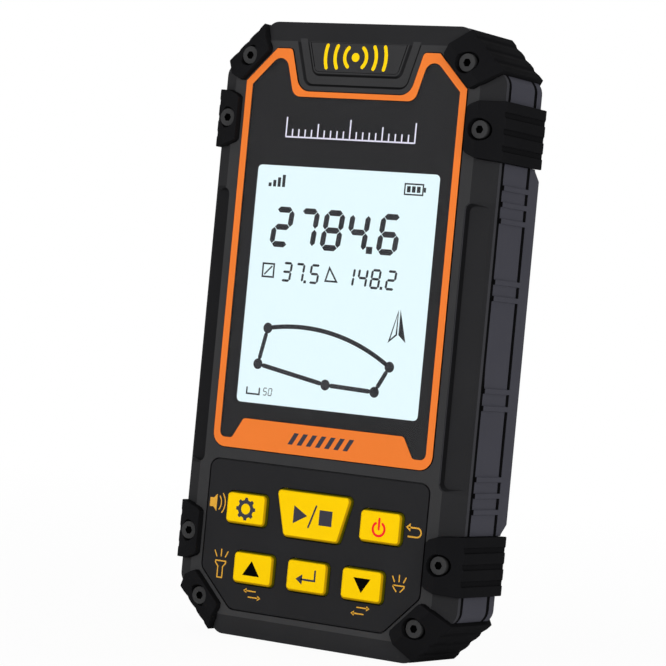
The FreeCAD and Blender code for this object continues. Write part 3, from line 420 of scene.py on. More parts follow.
def facet_links(tree: Tree, given: bpy.types.NodeOutputs) -> dict[str, Socket]:
    """Painted light and shade: tone of a face by the way it looks, front flat, side wall or bevel between.

    Args:
        tree: the group's tree.
        given: the group's inputs.

    Returns:
        What each of the group's outputs gets.
    """
    _, backwards, upwards = tree.parts("Normal")
    depth = tree.maths("ABSOLUTE", backwards)
    is_wall = tree.ranged(depth, *WALL_SPAN, 1.0, 0.0)
    is_front = tree.ranged(depth, *FRONT_SPAN)
    # painted light on bevels that look down by Under, painted shade on walls that look up by Over
    bevel = tree.scaled(given["Bevel"], tree.ranged(upwards, *DOWN_SPAN, 1.0, given["Under"]))
    wall = tree.scaled(given["Wall"], tree.ranged(upwards, *UP_SPAN, 1.0, given["Over"]))
    colour = tree.mixed(is_front, tree.mixed(is_wall, bevel, wall), given["Front"])
    return {"Colour": colour, "Is front": is_front}


COLOURS = ("Colour", "Front", "Bevel", "Wall")
RECIPES = {
    Effect.GRAIN: (("Colour", "Grain size", "Cloud"), ("Colour", "Height"), grain_links),
    Effect.HANDLING: (("Roughness", "Change"), ("Roughness",), handling_links),
    Effect.FACETS: (("Front", "Bevel", "Wall", "Under", "Over"), ("Colour", "Is front"), facet_links),
}


# Finishes

def new_material(name: str) -> tuple[bpy.types.Material, bpy.types.Node, Tree]:
    """Makes a material with nodes.

    Args:
        name: name of the material.

    Returns:
        The material, its shader and its tree.
    """
    made = bpy.data.materials.new(name)
    made.use_nodes = True
    return made, made.node_tree.nodes["Principled BSDF"], Tree(made.node_tree)


@dataclass(frozen=True)
class Surface:
    """What a piece is made of."""

    name: str  # name of the material
    colour: Colour = (0.98, 0.99, 1.0)  # linear base colour

    def material(self) -> bpy.types.Material:
        """The finished material, built the first time it is asked for.

        Returns:
            The material.
        """
        made = bpy.data.materials.get(self.name + FINISHED)
        if not made:
            made, shader, tree = new_material(self.name + FINISHED)
            self.link(tree, shader)
        return made

    def link(self, tree: Tree, shader: bpy.types.Node) -> None:
        """Gives the shader its colour."""
        tree.fill(shader, {"Base Color": self.colour})


@dataclass(frozen=True)
class GlassFinish(Surface):
    """Clear glass or hard-coated sheet."""

    ior: float = 1.45  # refractive index
    roughness: float = 0.03  # mean roughness

    def link(self, tree: Tree, shader: bpy.types.Node) -> None:
        """Makes the shader clear.

        Args:
            tree: the material's tree.
            shader: its shader.
        """
        super().link(tree, shader)
        film = tree.handled(self.roughness, self.roughness / 2)
        tree.fill(shader, {"IOR": self.ior, "Transmission Weight": 1.0, "Roughness": film})


@dataclass(frozen=True)
class Finish(Surface):
    """A moulded or painted finish."""

    roughness: float = 0.6  # mean roughness
    specular: float = 0.3  # strength of the surface reflection
    grain: float = 0.25  # size of the surface grain in millimetres
    relief: float = 0.01  # depth of the grain in millimetres
    cloud: float = 0.05  # how much the colour varies, as a share
    change: float = 0.05  # how much handling changes the roughness
    metallic: float = 0.0  # 1 for metal
    coat: float = 0.0  # weight of a clear coat

    def tone(self, tree: Tree) -> object:
        """Base colour before the grain: a colour or a socket."""
        return self.colour

    def link(self, tree: Tree, shader: bpy.types.Node) -> None:
        """Links the tone, the grain and the handling to the shader.

        Args:
            tree: the material's tree.
            shader: its shader.
        """
        links = {"Colour": self.tone(tree), "Grain size": self.grain, "Cloud": self.cloud}
        grain = tree.effect(Effect.GRAIN, links).outputs
        bump = tree.add("ShaderNodeBump", {"Height": grain["Height"], "Distance": self.relief * MM})
        tree.fill(shader, {
            "Base Color": grain["Colour"],
            "Metallic": self.metallic,
            "Specular IOR Level": self.specular,
            "Coat Weight": self.coat,
            "Normal": bump.outputs[0],
            "Roughness": tree.handled(self.roughness, self.change),
        })


@dataclass(frozen=True)
class FacetFinish(Finish):
    """A moulding whose front flats, bevels and walls get their own tones, as painted light and shade by the
    way each face looks.
    """

    bevel: Colour = (0.02, 0.02, 0.02)  # linear colour of sloping faces
    wall: Colour = (0.05, 0.05, 0.05)  # linear colour of walls square to the front
    under: float = 1.0  # painted light: how much brighter the bevels are that look down
    over: float = 1.0  # painted shade: the same for walls that look up, darker below 1

    def facets(self, tree: Tree) -> bpy.types.Node:
        """Adds the effect that picks a tone by the way a face looks, as painted light and shade."""
        links = {"Front": self.colour, "Bevel": self.bevel, "Wall": self.wall}
        return tree.effect(Effect.FACETS, {**links, "Under": self.under, "Over": self.over})

    def tone(self, tree: Tree) -> Socket:
        """Colour by the way the face looks, with painted light and shade."""
        return self.facets(tree).outputs["Colour"]


@dataclass(frozen=True)
class RibbedFinish(FacetFinish):
    """Rubber with painted shade in the grooves of its outer side."""

    out: Place = (1.0, 0.0, 0.0)  # the way the outer side looks
    reach: float = 1.0  # distance in metres of the outer side from the frame's origin, along that way
    groove: float = 0.25  # depth of the grooves in millimetres
    brim: float = 0.2  # share of that depth above which there is no painted shade
    groove_tone: float = 0.8  # share of the colour that the painted shade leaves at the bottom

    def tone(self, tree: Tree) -> Socket:
        """Colour by the way the face looks, with painted shade by how far out it lies.

        Args:
            tree: the material's tree.

        Returns:
            The colour.
        """
        depth = self.groove * MM
        edges = (self.reach - depth, self.reach - self.brim * depth)
        deep = tree.ranged(tree.along("Object", self.out), *edges, 1.0, 0.0)
        outer = tree.ranged(tree.along("Normal", self.out), *OUT_SPAN)
        kept = tree.faded(tree.times(deep, outer), 1.0, self.groove_tone)
        return tree.scaled(super().tone(tree), kept)


@dataclass(frozen=True)
class CreviceShadeFinish(FacetFinish):
    """A moulding with painted shade in the recesses of its front, apart from their flat floors."""

    front: float = 0.0  # Y of the front in metres, in the object's own frame
    half_w: float = 1.0  # half width in metres of the zone whose recesses get painted shade
    foot: float = -1.0  # lower end of that zone in metres
    head: float = 1.0  # upper end of that zone in metres
    start: float = 0.02  # depth behind the front where the painted shade starts, in millimetres
    full: float = 0.12  # depth where the painted shade is darkest, in millimetres
    depth_tone: float = 0.1  # share of the colour that the painted shade leaves there on upright walls
    slope_tone: float = 0.55  # the same for sloping walls that look right, painted lighter; the others keep a third of it

    def tone(self, tree: Tree) -> Socket:
        """Colour by the way the face looks, with painted shade by how deep it lies.

        Args:
            tree: the material's tree.

        Returns:
            The colour.
        """
        across, inwards, up = tree.parts("Object")
        to_right, backwards, _ = tree.parts("Normal")
        facets = self.facets(tree).outputs
        # painted shade: darker deeper behind the front, inside the zone, apart from flat floors
        shade = tree.times(
            tree.ranged(inwards, self.front + self.start * MM, self.front + self.full * MM),
            tree.between(across, -self.half_w, self.half_w),
            tree.between(up, self.foot, self.head),
            tree.maths("SUBTRACT", 1.0, facets["Is front"]),
        )
        slope = tree.ranged(to_right, *RIGHT_SPAN, self.slope_tone / 3, self.slope_tone)
        kept = tree.ranged(backwards, *STEEP_SPAN, slope, self.depth_tone)
        return tree.scaled(facets["Colour"], tree.faded(shade, 1.0, kept))


@dataclass(frozen=True)
class CaseFinish(CreviceShadeFinish):
    """The front case's moulding, with painted light and shade in its finger scoops and painted light on the
    flats at its foot.
    """

    scoop_left: Colour = (0.0101, 0.0101, 0.0112)  # painted shade: linear colour of the left scoop, darker than the right
    scoop_right: Colour = (0.0185, 0.0185, 0.0200)  # painted light: linear colour of the right scoop, lighter than the left
    scoop_wall: Colour = (0.0078, 0.0078, 0.0086)  # painted shade: linear colour of the walls round both scoops
    scoop_from: float = 1.0  # distance in metres from the middle where the scoops begin
    scoop_to: float = 1.0  # distance in metres from the middle where they end
    scoop_low: float = 0.0  # lower end of the scoops in metres
    scoop_high: float = 1.0  # upper end of the scoops in metres
    scoop_lip: float = 0.0  # depth in metres behind the front where the scoops begin
    end_reach: float = 0.6  # share of a scoop's width over which the painted shade on its end walls fades into the floor's colour
    foot_lift: float = 1.2  # painted light: how much paler the flats are at the very foot
    foot_from: float = 0.016  # height in metres where they begin to turn paler, downwards
    foot_full: float = 0.006  # height in metres where they are palest

    def tone(self, tree: Tree) -> Socket:
        """Colour by the way the face looks, with painted light and shade in the scoops and at the foot.

        Args:
            tree: the material's tree.

        Returns:
            The colour.
        """
        across, inwards, up = tree.parts("Object")
        _, backwards, upwards = tree.parts("Normal")
        out = tree.maths("ABSOLUTE", across)
        zone = tree.times(
            tree.between(out, self.scoop_from, self.scoop_to),
            tree.between(up, self.scoop_low, self.scoop_high),
            tree.maths("GREATER_THAN", inwards, self.front + self.scoop_lip),
        )
        # painted shade on the left scoop's floor, painted light on the right one's, painted shade on the
        # walls round them
        floor = tree.mixed(tree.maths("GREATER_THAN", across, 0.0), self.scoop_left, self.scoop_right)
        paler = self.scoop_from + self.end_reach * (self.scoop_to - self.scoop_from)
        end = tree.mixed(tree.ranged(out, self.scoop_from, paler), self.scoop_wall, floor)
        wall = tree.mixed(tree.ranged(tree.maths("ABSOLUTE", upwards), *END_SPAN), self.scoop_wall, end)
        scoop = tree.mixed(tree.ranged(backwards, *SCOOP_SPAN), wall, floor)
        # painted light: the flats turn paler towards the foot
        flat = tree.ranged(backwards, *FLAT_SPAN)
        low = tree.ranged(up, self.foot_full, self.foot_from, 1.0, 0.0)
        lift = tree.faded(tree.times(flat, low), 1.0, self.foot_lift)
        return tree.mixed(zone, tree.scaled(super().tone(tree), lift), scoop)


@dataclass(frozen=True)
class KeyFinish(Finish):
    """A rubber key with painted light and shade: a golden rim where it looks right or down, and dark sides
    beyond the rim and on top.
    """

    rim: Colour = (0.47, 0.265, 0.0)  # painted shade: linear colour of the rounded rim that looks right or down
    side: Colour = (0.105, 0.095, 0.0)  # painted shade: linear colour of the sides beyond the rim and of the upper side
    rim_span: Point = (0.08, 0.35)  # how far a normal looks right or down, from the face to the rim
    side_span: Point = (-0.65, -0.3)  # how far it looks backwards, from the rim to a side
    top_span: Point = (0.45, 0.85)  # how far it looks up, from the face to the upper side

    def tone(self, tree: Tree) -> Socket:
        """Colour by the way the surface looks, with painted light and shade.

        Args:
            tree: the material's tree.

        Returns:
            The colour.
        """
        to_right, backwards, upwards = tree.parts("Normal")
        # painted shade: a golden rim where the key looks right or down, dark sides beyond it and on top
        away = tree.maths("MAXIMUM", to_right, tree.times(upwards, -1.0))
        side = tree.mixed(tree.ranged(backwards, *self.side_span), self.rim, self.side)
        lower = tree.mixed(tree.ranged(away, *self.rim_span), self.colour, side)
        return tree.mixed(tree.ranged(upwards, *self.top_span), lower, self.side)


@dataclass(frozen=True)
class ScrewFinish(Finish):
    """Black screws with painted shade: dark sockets, and heads that turn dark the deeper they lie in their
    holes.
    """

    side: Point = (0.03125, 0.0447)  # place of the side screws from the middle of the housing, in metres
    corner: Point = (0.02686, 0.05826)  # the same for the corner screws
    middle: float = 0.0661  # height of the middle of the housing in metres
    face: float = 0.0  # Y of the heads' faces in metres
    socket: float = 1.2  # radius of the socket in millimetres
    lip: float = 0.05  # depth in millimetres below which the socket gets painted shade
    fade: Point = (0.1, 1.3)  # depths over which painted shade darkens a head, in millimetres
    shade_tone: float = 0.04  # share of the colour that is left in the painted shade

    def shade(self, tree: Tree) -> Socket:
        """How much painted shade a spot gets, by its distance from the screw's axis and its depth in the
        hole.

        Args:
            tree: the material's tree.

        Returns:
            1 for the darkest spots and 0 for the others.
        """
        across, inwards, up = tree.parts("Object")
        above = tree.maths("SUBTRACT", up, self.middle)
        folded = {0: tree.maths("ABSOLUTE", across), 1: tree.maths("ABSOLUTE", above)}
        place = tree.add("ShaderNodeCombineXYZ", folded).outputs[0]
        ways = []
        for x, z in (self.side, self.corner):
            way = tree.add("ShaderNodeVectorMath", {0: place, 1: (x, z, 0.0)}, operation="DISTANCE")
            ways.append(way.outputs["Value"])
        inside = tree.maths("LESS_THAN", tree.maths("MINIMUM", *ways), self.socket * MM)
        sunk = tree.maths("GREATER_THAN", inwards, self.face + self.lip * MM)
        depth = tree.ranged(inwards, *(self.face + edge * MM for edge in self.fade))
        return tree.maths("MAXIMUM", tree.times(inside, sunk), depth)

    def tone(self, tree: Tree) -> Socket:
        """Colour darkened by the painted shade."""
        return tree.scaled(self.colour, tree.faded(self.shade(tree), 1.0, self.shade_tone))

    def link(self, tree: Tree, shader: bpy.types.Node) -> None:
        """Links the finish and takes the reflection out of the spots with painted shade.

        Args:
            tree: the material's tree.
            shader: its shader.
        """
        super().link(tree, shader)
        tree.fill(shader, {"Specular IOR Level": tree.faded(self.shade(tree), self.specular, 0.0)})


@dataclass(frozen=True)
class LitFinish(FacetFinish):
    """A display whose front shines and whose sides are bare metal."""

    shine: Colour = (0.8, 0.95, 1.0)  # linear colour of the lit front
    pitch: float = 0.18  # size of a picture element in millimetres
    line_tone: float = 0.97  # brightness between the picture elements
    line_from: float = 0.8  # cosine above which a place counts as such a line

    def link(self, tree: Tree, shader: bpy.types.Node) -> None:
        """Links the finish and lights the front through a faint grid of picture elements.

        Args:
            tree: the material's tree.
            shader: its shader.
        """
        super().link(tree, shader)
        across, _, up = tree.parts("Object")
        _, backwards, _ = tree.parts("Normal")
        level = tree.ranged(backwards, *FLAT_SPAN)
        for place in (across, up):
            wave = tree.maths("COSINE", tree.times(place, 2 * math.pi / (self.pitch * MM)))
            level = tree.times(level, tree.ranged(wave, self.line_from, 1.0, 1.0, self.line_tone))
        lit = tree.mixed(level, (0.0, 0.0, 0.0), self.shine)
        tree.fill(shader, {"Emission Color": lit, "Emission Strength": 1.0})


# Painted light and shade: the case's front, bevel and wall tones differ by facing, and under=1.45 lights the
# bevels that look down
CASE = CaseFinish(
    "case_black",
    (0.0365, 0.0365, 0.0380),
    0.75,
    0.08,
    bevel=(0.0205, 0.0205, 0.0220),
    wall=(0.053, 0.053, 0.060),
    under=1.45,
    grain=0.3,
    relief=0.004,
)
GRAPHITE = Finish("frame_graphite", (0.064, 0.064, 0.080), 0.65, 0.08, grain=0.35, relief=0.004, cloud=0.03)
SEAL = Finish("seal_black", (0.0038, 0.0038, 0.0041), 0.9, 0.02, cloud=0.15)
# Painted light and shade: the guard's tones differ by facing, over=0.72 shades the walls that look up, and
# its grooves get painted shade
GUARD = RibbedFinish(
    "guard_black",
    (0.0088, 0.0088, 0.0097),
    0.9,
    0.02,
    bevel=(0.0085, 0.0085, 0.0094),
    wall=(0.0104, 0.0104, 0.0114),
    over=0.72,
    grain=0.22,
    relief=0.008,
    cloud=0.08,
)
# Painted shade: the bezel's walls are near black, standing in for the shadow in the gap round it, and its
# recesses get painted shade
ORANGE = CreviceShadeFinish(
    "bezel_orange",
    (0.84, 0.198, 0.028),
    0.6,
    0.12,
    bevel=(0.72, 0.17, 0.026),
    wall=(0.006, 0.004, 0.003),
    relief=0.002,
    cloud=0.012,
)
MASK = Finish("mask_black", (0.0245, 0.0245, 0.0260), 0.8, 0.03, relief=0.0005, cloud=0.02)
WINDOW = GlassFinish("window_clear", (1.0, 1.0, 1.0), 1.2, 0.04)
SCREEN = LitFinish(
    "screen",
    (0.02, 0.02, 0.02),
    0.5,
    0.05,
    bevel=(0.3, 0.3, 0.3),
    wall=(0.3, 0.3, 0.3),
    shine=(0.785, 0.955, 1.0),
)
PLATE = Finish("nameplate_black", (0.0345, 0.0345, 0.0360), 0.75, 0.08, grain=0.2, relief=0.003)
PANEL = Finish("panel_black", (0.0196, 0.0196, 0.0212), 0.8, 0.06, grain=0.2, relief=0.002, cloud=0.04)
KEY = KeyFinish("key_yellow", (0.98, 0.62, 0.0), 0.7, 0.05, grain=0.15, relief=0.002, cloud=0.012)
SCREW = ScrewFinish("screw_black", (0.037, 0.037, 0.038), 0.65, 0.1, grain=0.12, relief=0.002)
STEEL = Finish("steel", (0.45, 0.45, 0.46), 0.35, 0.5, metallic=1.0, relief=0.002)
BRASS = Finish("brass", (0.62, 0.44, 0.18), 0.35, 0.5, metallic=1.0, relief=0.002)
BOARD = Finish("board_green", (0.01, 0.09, 0.035), 0.4, 0.5, grain=0.8, relief=0.01, cloud=0.2)
MEMBRANE = Finish("membrane", (0.38, 0.39, 0.38), 0.6, 0.3)
SWITCH = Finish("switch_black", (0.02, 0.02, 0.02), 0.5, 0.4)
HOLDER = Finish("holder_plastic", (0.5, 0.5, 0.48), 0.5, 0.4)
CERAMIC = Finish("ceramic", (0.5, 0.4, 0.27), 0.7, 0.3, grain=0.1)
WRAP = Finish("battery_wrap", (0.12, 0.14, 0.18), 0.35, 0.5, coat=0.3)
SPEAKER = Finish("speaker_black", (0.012, 0.012, 0.012), 0.6, 0.3)
LAMP_BODY = Finish("lamp_white", (0.75, 0.7, 0.45), 0.4, 0.5)
LENS = GlassFinish("lens_clear")
YELLOW_INK = Finish("ink_yellow", (1.0, 0.66, 0.004), 0.7, 0.05, relief=0.001, cloud=0.01)
WHITE_INK = Finish("ink_white", (0.80, 0.78, 0.92), 0.7, 0.05, relief=0.001, cloud=0.01)
AMBER_INK = Finish("ink_amber", (0.74, 0.38, 0.045), 0.7, 0.05, relief=0.001, cloud=0.05)
RED_INK = Finish("ink_red", (0.90, 0.022, 0.022), 0.7, 0.05, relief=0.001, cloud=0.01)
DARK_INK = Finish("ink_dark", (0.045, 0.045, 0.06), 0.7, 0.05, relief=0.001, cloud=0.02)
BLACK_INK = Finish("ink_black", (0.001, 0.001, 0.001), 0.8, 0.03, relief=0.001)
SCREEN_INK = Finish("ink_screen", (0.030, 0.031, 0.036), 0.8, 0.03, relief=0.001, cloud=0.02)


# Carried pieces

WELD = 0.001  # millimetres between corners that are one


@dataclass(frozen=True)
class Carried:
    """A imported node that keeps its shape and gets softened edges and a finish."""

    node: str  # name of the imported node
    finish: Surface  # what it is made of
    edge: float = 0.0  # width of the softened edges in millimetres, or 0 for none
    segments: int = 2  # steps across a softened edge
    angle: float = 28.0  # least bend in degrees of an edge that is softened

    def dress(self, frame: dict) -> None:
        """Gives the node its finish and its softened edges.
        """
        piece = frame["nodes"][self.node]
        piece.data.materials.clear()
        piece.data.materials.append(self.finish.material())
        if self.edge:
            self.soften(piece)
        LOG.info("dressed %s in %s", self.node, self.finish.name)

    def soften(self, piece: bpy.types.Object) -> None:
        """Joins the split corners and rounds the sharp edges.

        Args:
            piece: the node's object.
        """
        piece.modifiers.new("weld", "WELD").merge_threshold = WELD * MM
        settle(
            piece.modifiers.new("bevel", "BEVEL"),
            width=self.edge * MM,
            segments=self.segments,
            limit_method="ANGLE",
            angle_limit=math.radians(self.angle),
            use_clamp_overlap=False,
            loop_slide=False,
            harden_normals=True,
            miter_outer="MITER_ARC",
        )


@dataclass
class Housing:
    """The moulded shells, seals, guards and their screws."""

    edge: float = 0.12  # softened edges of the shells in millimetres
    guard_edge: float = 0.18  # softened edges of the rubber guards
    guard_angle: float = 55.0  # least bend in degrees of a guard's edge that is softened
    scoop_in: float = 5.5  # finger scoops' inner edge, inwards from the side walls
    scoop_half: float = 30.0  # half length of the scoops
    scoop_rim: float = 0.1  # width of the side wall's rim that the scoops leave
    scoop_lip: float = 0.3  # depth behind the front where the scoops begin
    recess_rim: float = 0.6  # how far round the panel the recesses get painted shade

    def build(self, frame: dict) -> None:
        """Dresses every node of the housing.
        """
        carried = [
            Carried("front_case", self.case_finish(), self.edge),
            Carried("mid_frame", GRAPHITE, self.edge),
            Carried("rear_case", GRAPHITE, self.edge),
            Carried("front_seal", SEAL),
            Carried("rear_seal", SEAL),
            Carried("guard_screws", replace(SCREW, face=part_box("guard_screws")[0].y), self.edge),
            Carried("threaded_inserts", BRASS),
            Carried("port_cover", SEAL, self.edge),
        ]
        for kind, level, hand in product(("side", "corner"), ("lower", "upper"), ("left", "right")):
            node = f"{kind}_guard_{level}_{hand}"
            finish = self.guard_finish(frame["nodes"][node])
            carried.append(Carried(node, finish, self.guard_edge, angle=self.guard_angle))
        for item in carried:
            item.dress(frame)

    def guard_finish(self, guard: bpy.types.Object) -> RibbedFinish:
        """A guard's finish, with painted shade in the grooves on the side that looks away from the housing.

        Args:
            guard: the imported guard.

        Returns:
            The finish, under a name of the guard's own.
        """
        across = 1.0 if guard.name.endswith("right") else -1.0
        along = 0.0
        if guard.name.startswith("corner"):
            along = 1.0 if "upper" in guard.name else -1.0
        out = Vector((across, 0.0, along)).normalized()
        reach = max(out.dot(vertex.co) for vertex in guard.data.vertices)
        return replace(GUARD, name=f"{GUARD.name}_{guard.name}", out=tuple(out), reach=reach)

    def case_finish(self) -> CaseFinish:
        """The front case's finish, with painted shade in the recesses between the keypad's foot and the
        nameplate, and in its scoops.

        Returns:
            The finish.
        """
        panel_low, panel_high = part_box("keypad_panel")
        low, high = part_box("front_case")
        margin = self.recess_rim * MM
        middle = (low.z + high.z) / 2
        return replace(
            CASE,
            front=panel_low.y,
            half_w=panel_high.x + margin,
            foot=panel_low.z - margin,
            head=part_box("nameplate")[1].z + self.edge * MM / 2,
            scoop_from=high.x - self.scoop_in * MM,
            scoop_to=high.x - self.scoop_rim * MM,
            scoop_low=middle - self.scoop_half * MM,
            scoop_high=middle + self.scoop_half * MM,
            scoop_lip=self.scoop_lip * MM,
        )


@dataclass
class Internals:
    """What the housing holds out of sight."""

    finishes: dict[str, Surface] = field(default_factory=lambda: {
        "display_holder": HOLDER,
        "keypad_membrane": MEMBRANE,
        "tact_switches": SWITCH,
        "main_board": BOARD,
        "board_screws": STEEL,
        "gnss_antenna": CERAMIC,
        "rf_shield": STEEL,
        "battery_pack": WRAP,
        "speaker": SPEAKER,
        "torch_led": LAMP_BODY,
        "torch_lens": LENS,
        "usb_socket": STEEL,
    })

    def build(self, frame: dict) -> None:
        """Dresses every inner node."""
        for node, finish in self.finishes.items():
            Carried(node, finish).dress(frame)


PRINT = 0.02  # thickness of most prints in millimetres
THIN_PRINT = 0.01
THICK_PRINT = 0.03


def add_print(
    name: str, node: str, ink: Finish, marks: list[Mark], lift: float = PRINT, body: str = "housing",
) -> None:
    """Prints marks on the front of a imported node, as a thin raised piece.

    Args:
        name: name of the new piece.
        node: the node that is printed on.
        ink: finish of the print.
        marks: what is printed.
        lift: thickness of the print in millimetres.
        body: body that carries the print.
    """
    mesh = bmesh.new()
    for mark in marks:
        mark.fill(mesh)
    bmesh.ops.recalc_face_normals(mesh, faces=mesh.faces)
    pushed = bmesh.ops.extrude_face_region(mesh, geom=mesh.faces[:])
    verts = [item for item in pushed["geom"] if isinstance(item, bmesh.types.BMVert)]
    bmesh.ops.translate(mesh, verts=verts, vec=(0.0, -lift, 0.0))
    bmesh.ops.recalc_face_normals(mesh, faces=mesh.faces)
    bmesh.ops.transform(mesh, matrix=Matrix.Scale(MM, 4), verts=mesh.verts)
    bmesh.ops.translate(mesh, verts=mesh.verts, vec=(0.0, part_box(node)[0].y, 0.0))
    data = bpy.data.meshes.new(name)
    mesh.to_mesh(data)
    mesh.free()
    data.materials.append(ink.material())
    piece = bpy.data.objects.new(name, data)
    bpy.context.scene.collection.objects.link(piece)
    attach(piece, body)
    LOG.info("printed %s", name)


def middle_of(node: str) -> Vector:
    """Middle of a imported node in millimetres."""
    low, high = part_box(node)
    return (low + high) / 2 / MM


# Seven-bar digits: the bars that each one lights, their ends in widths and half heights, and sizes
# as shares of the height

LIT_BARS = ("abcdef", "bc", "abdeg", "abcdg", "bcfg", "acdfg", "acdefg", "abc", "abcdefg", "abcdfg")
BAR_ENDS = {
    "a": ((0, 2), (1, 2)),
    "b": ((1, 1), (1, 2)),
    "c": ((1, 0), (1, 1)),
    "d": ((0, 0), (1, 0)),
    "e": ((0, 0), (0, 1)),
    "f": ((0, 1), (0, 2)),
    "g": ((0, 1), (1, 1)),
}
DIGIT_WIDTH = 0.52
DIGIT_SPACE = 0.34
DIGIT_LEAN = 0.1
POINT_BACK = 0.13
POINT_STEP = 0.17
BAR_GAP = 0.08  # room at the ends of a bar, as a share of its thickness
POINT_SIZE = 1.2  # side of a point, as a share of a bar's thickness


def digits(text: str, x: float, z: float, height: float, weight: float = 0.12) -> list[Mark]:
    """Seven-bar digits.

    Args:
        text: digits and points.
        x: left end in millimetres.
        z: foot of the digits.
        height: height of a digit.
        weight: thickness of a bar per height.

    Returns:
        The bars that are lit.
    """
    width = height * DIGIT_WIDTH
    thick = height * weight
    marks: list[Mark] = []
    for letter in text:
        if letter == ".":
            point = thick * POINT_SIZE
            marks.append(block(x - height * POINT_BACK, z + point / 2 - thick / 2, point, point))
            x += height * POINT_STEP
            continue
        for bar in LIT_BARS[int(letter)]:
            start, end = (Vector((column * width, row * height / 2)) for column, row in BAR_ENDS[bar])
            way = (end - start).normalized()
            side = Vector((-way.y, way.x)) * thick / 2
            start += way * thick * BAR_GAP
            end -= way * thick * BAR_GAP
            tip = way * thick / 2
            ring = (start, start + tip - side, end - tip - side, end, end - tip + side, start + tip + side)
            marks.append(Patch(tuple((x + p.x + DIGIT_LEAN * p.y, z + p.y) for p in ring)))
        x += width + height * DIGIT_SPACE
    return marks


TICKS = ((10, 4.2), (5, 3.0), (1, 1.7))  # every so many steps, a tick of this height in millimetres


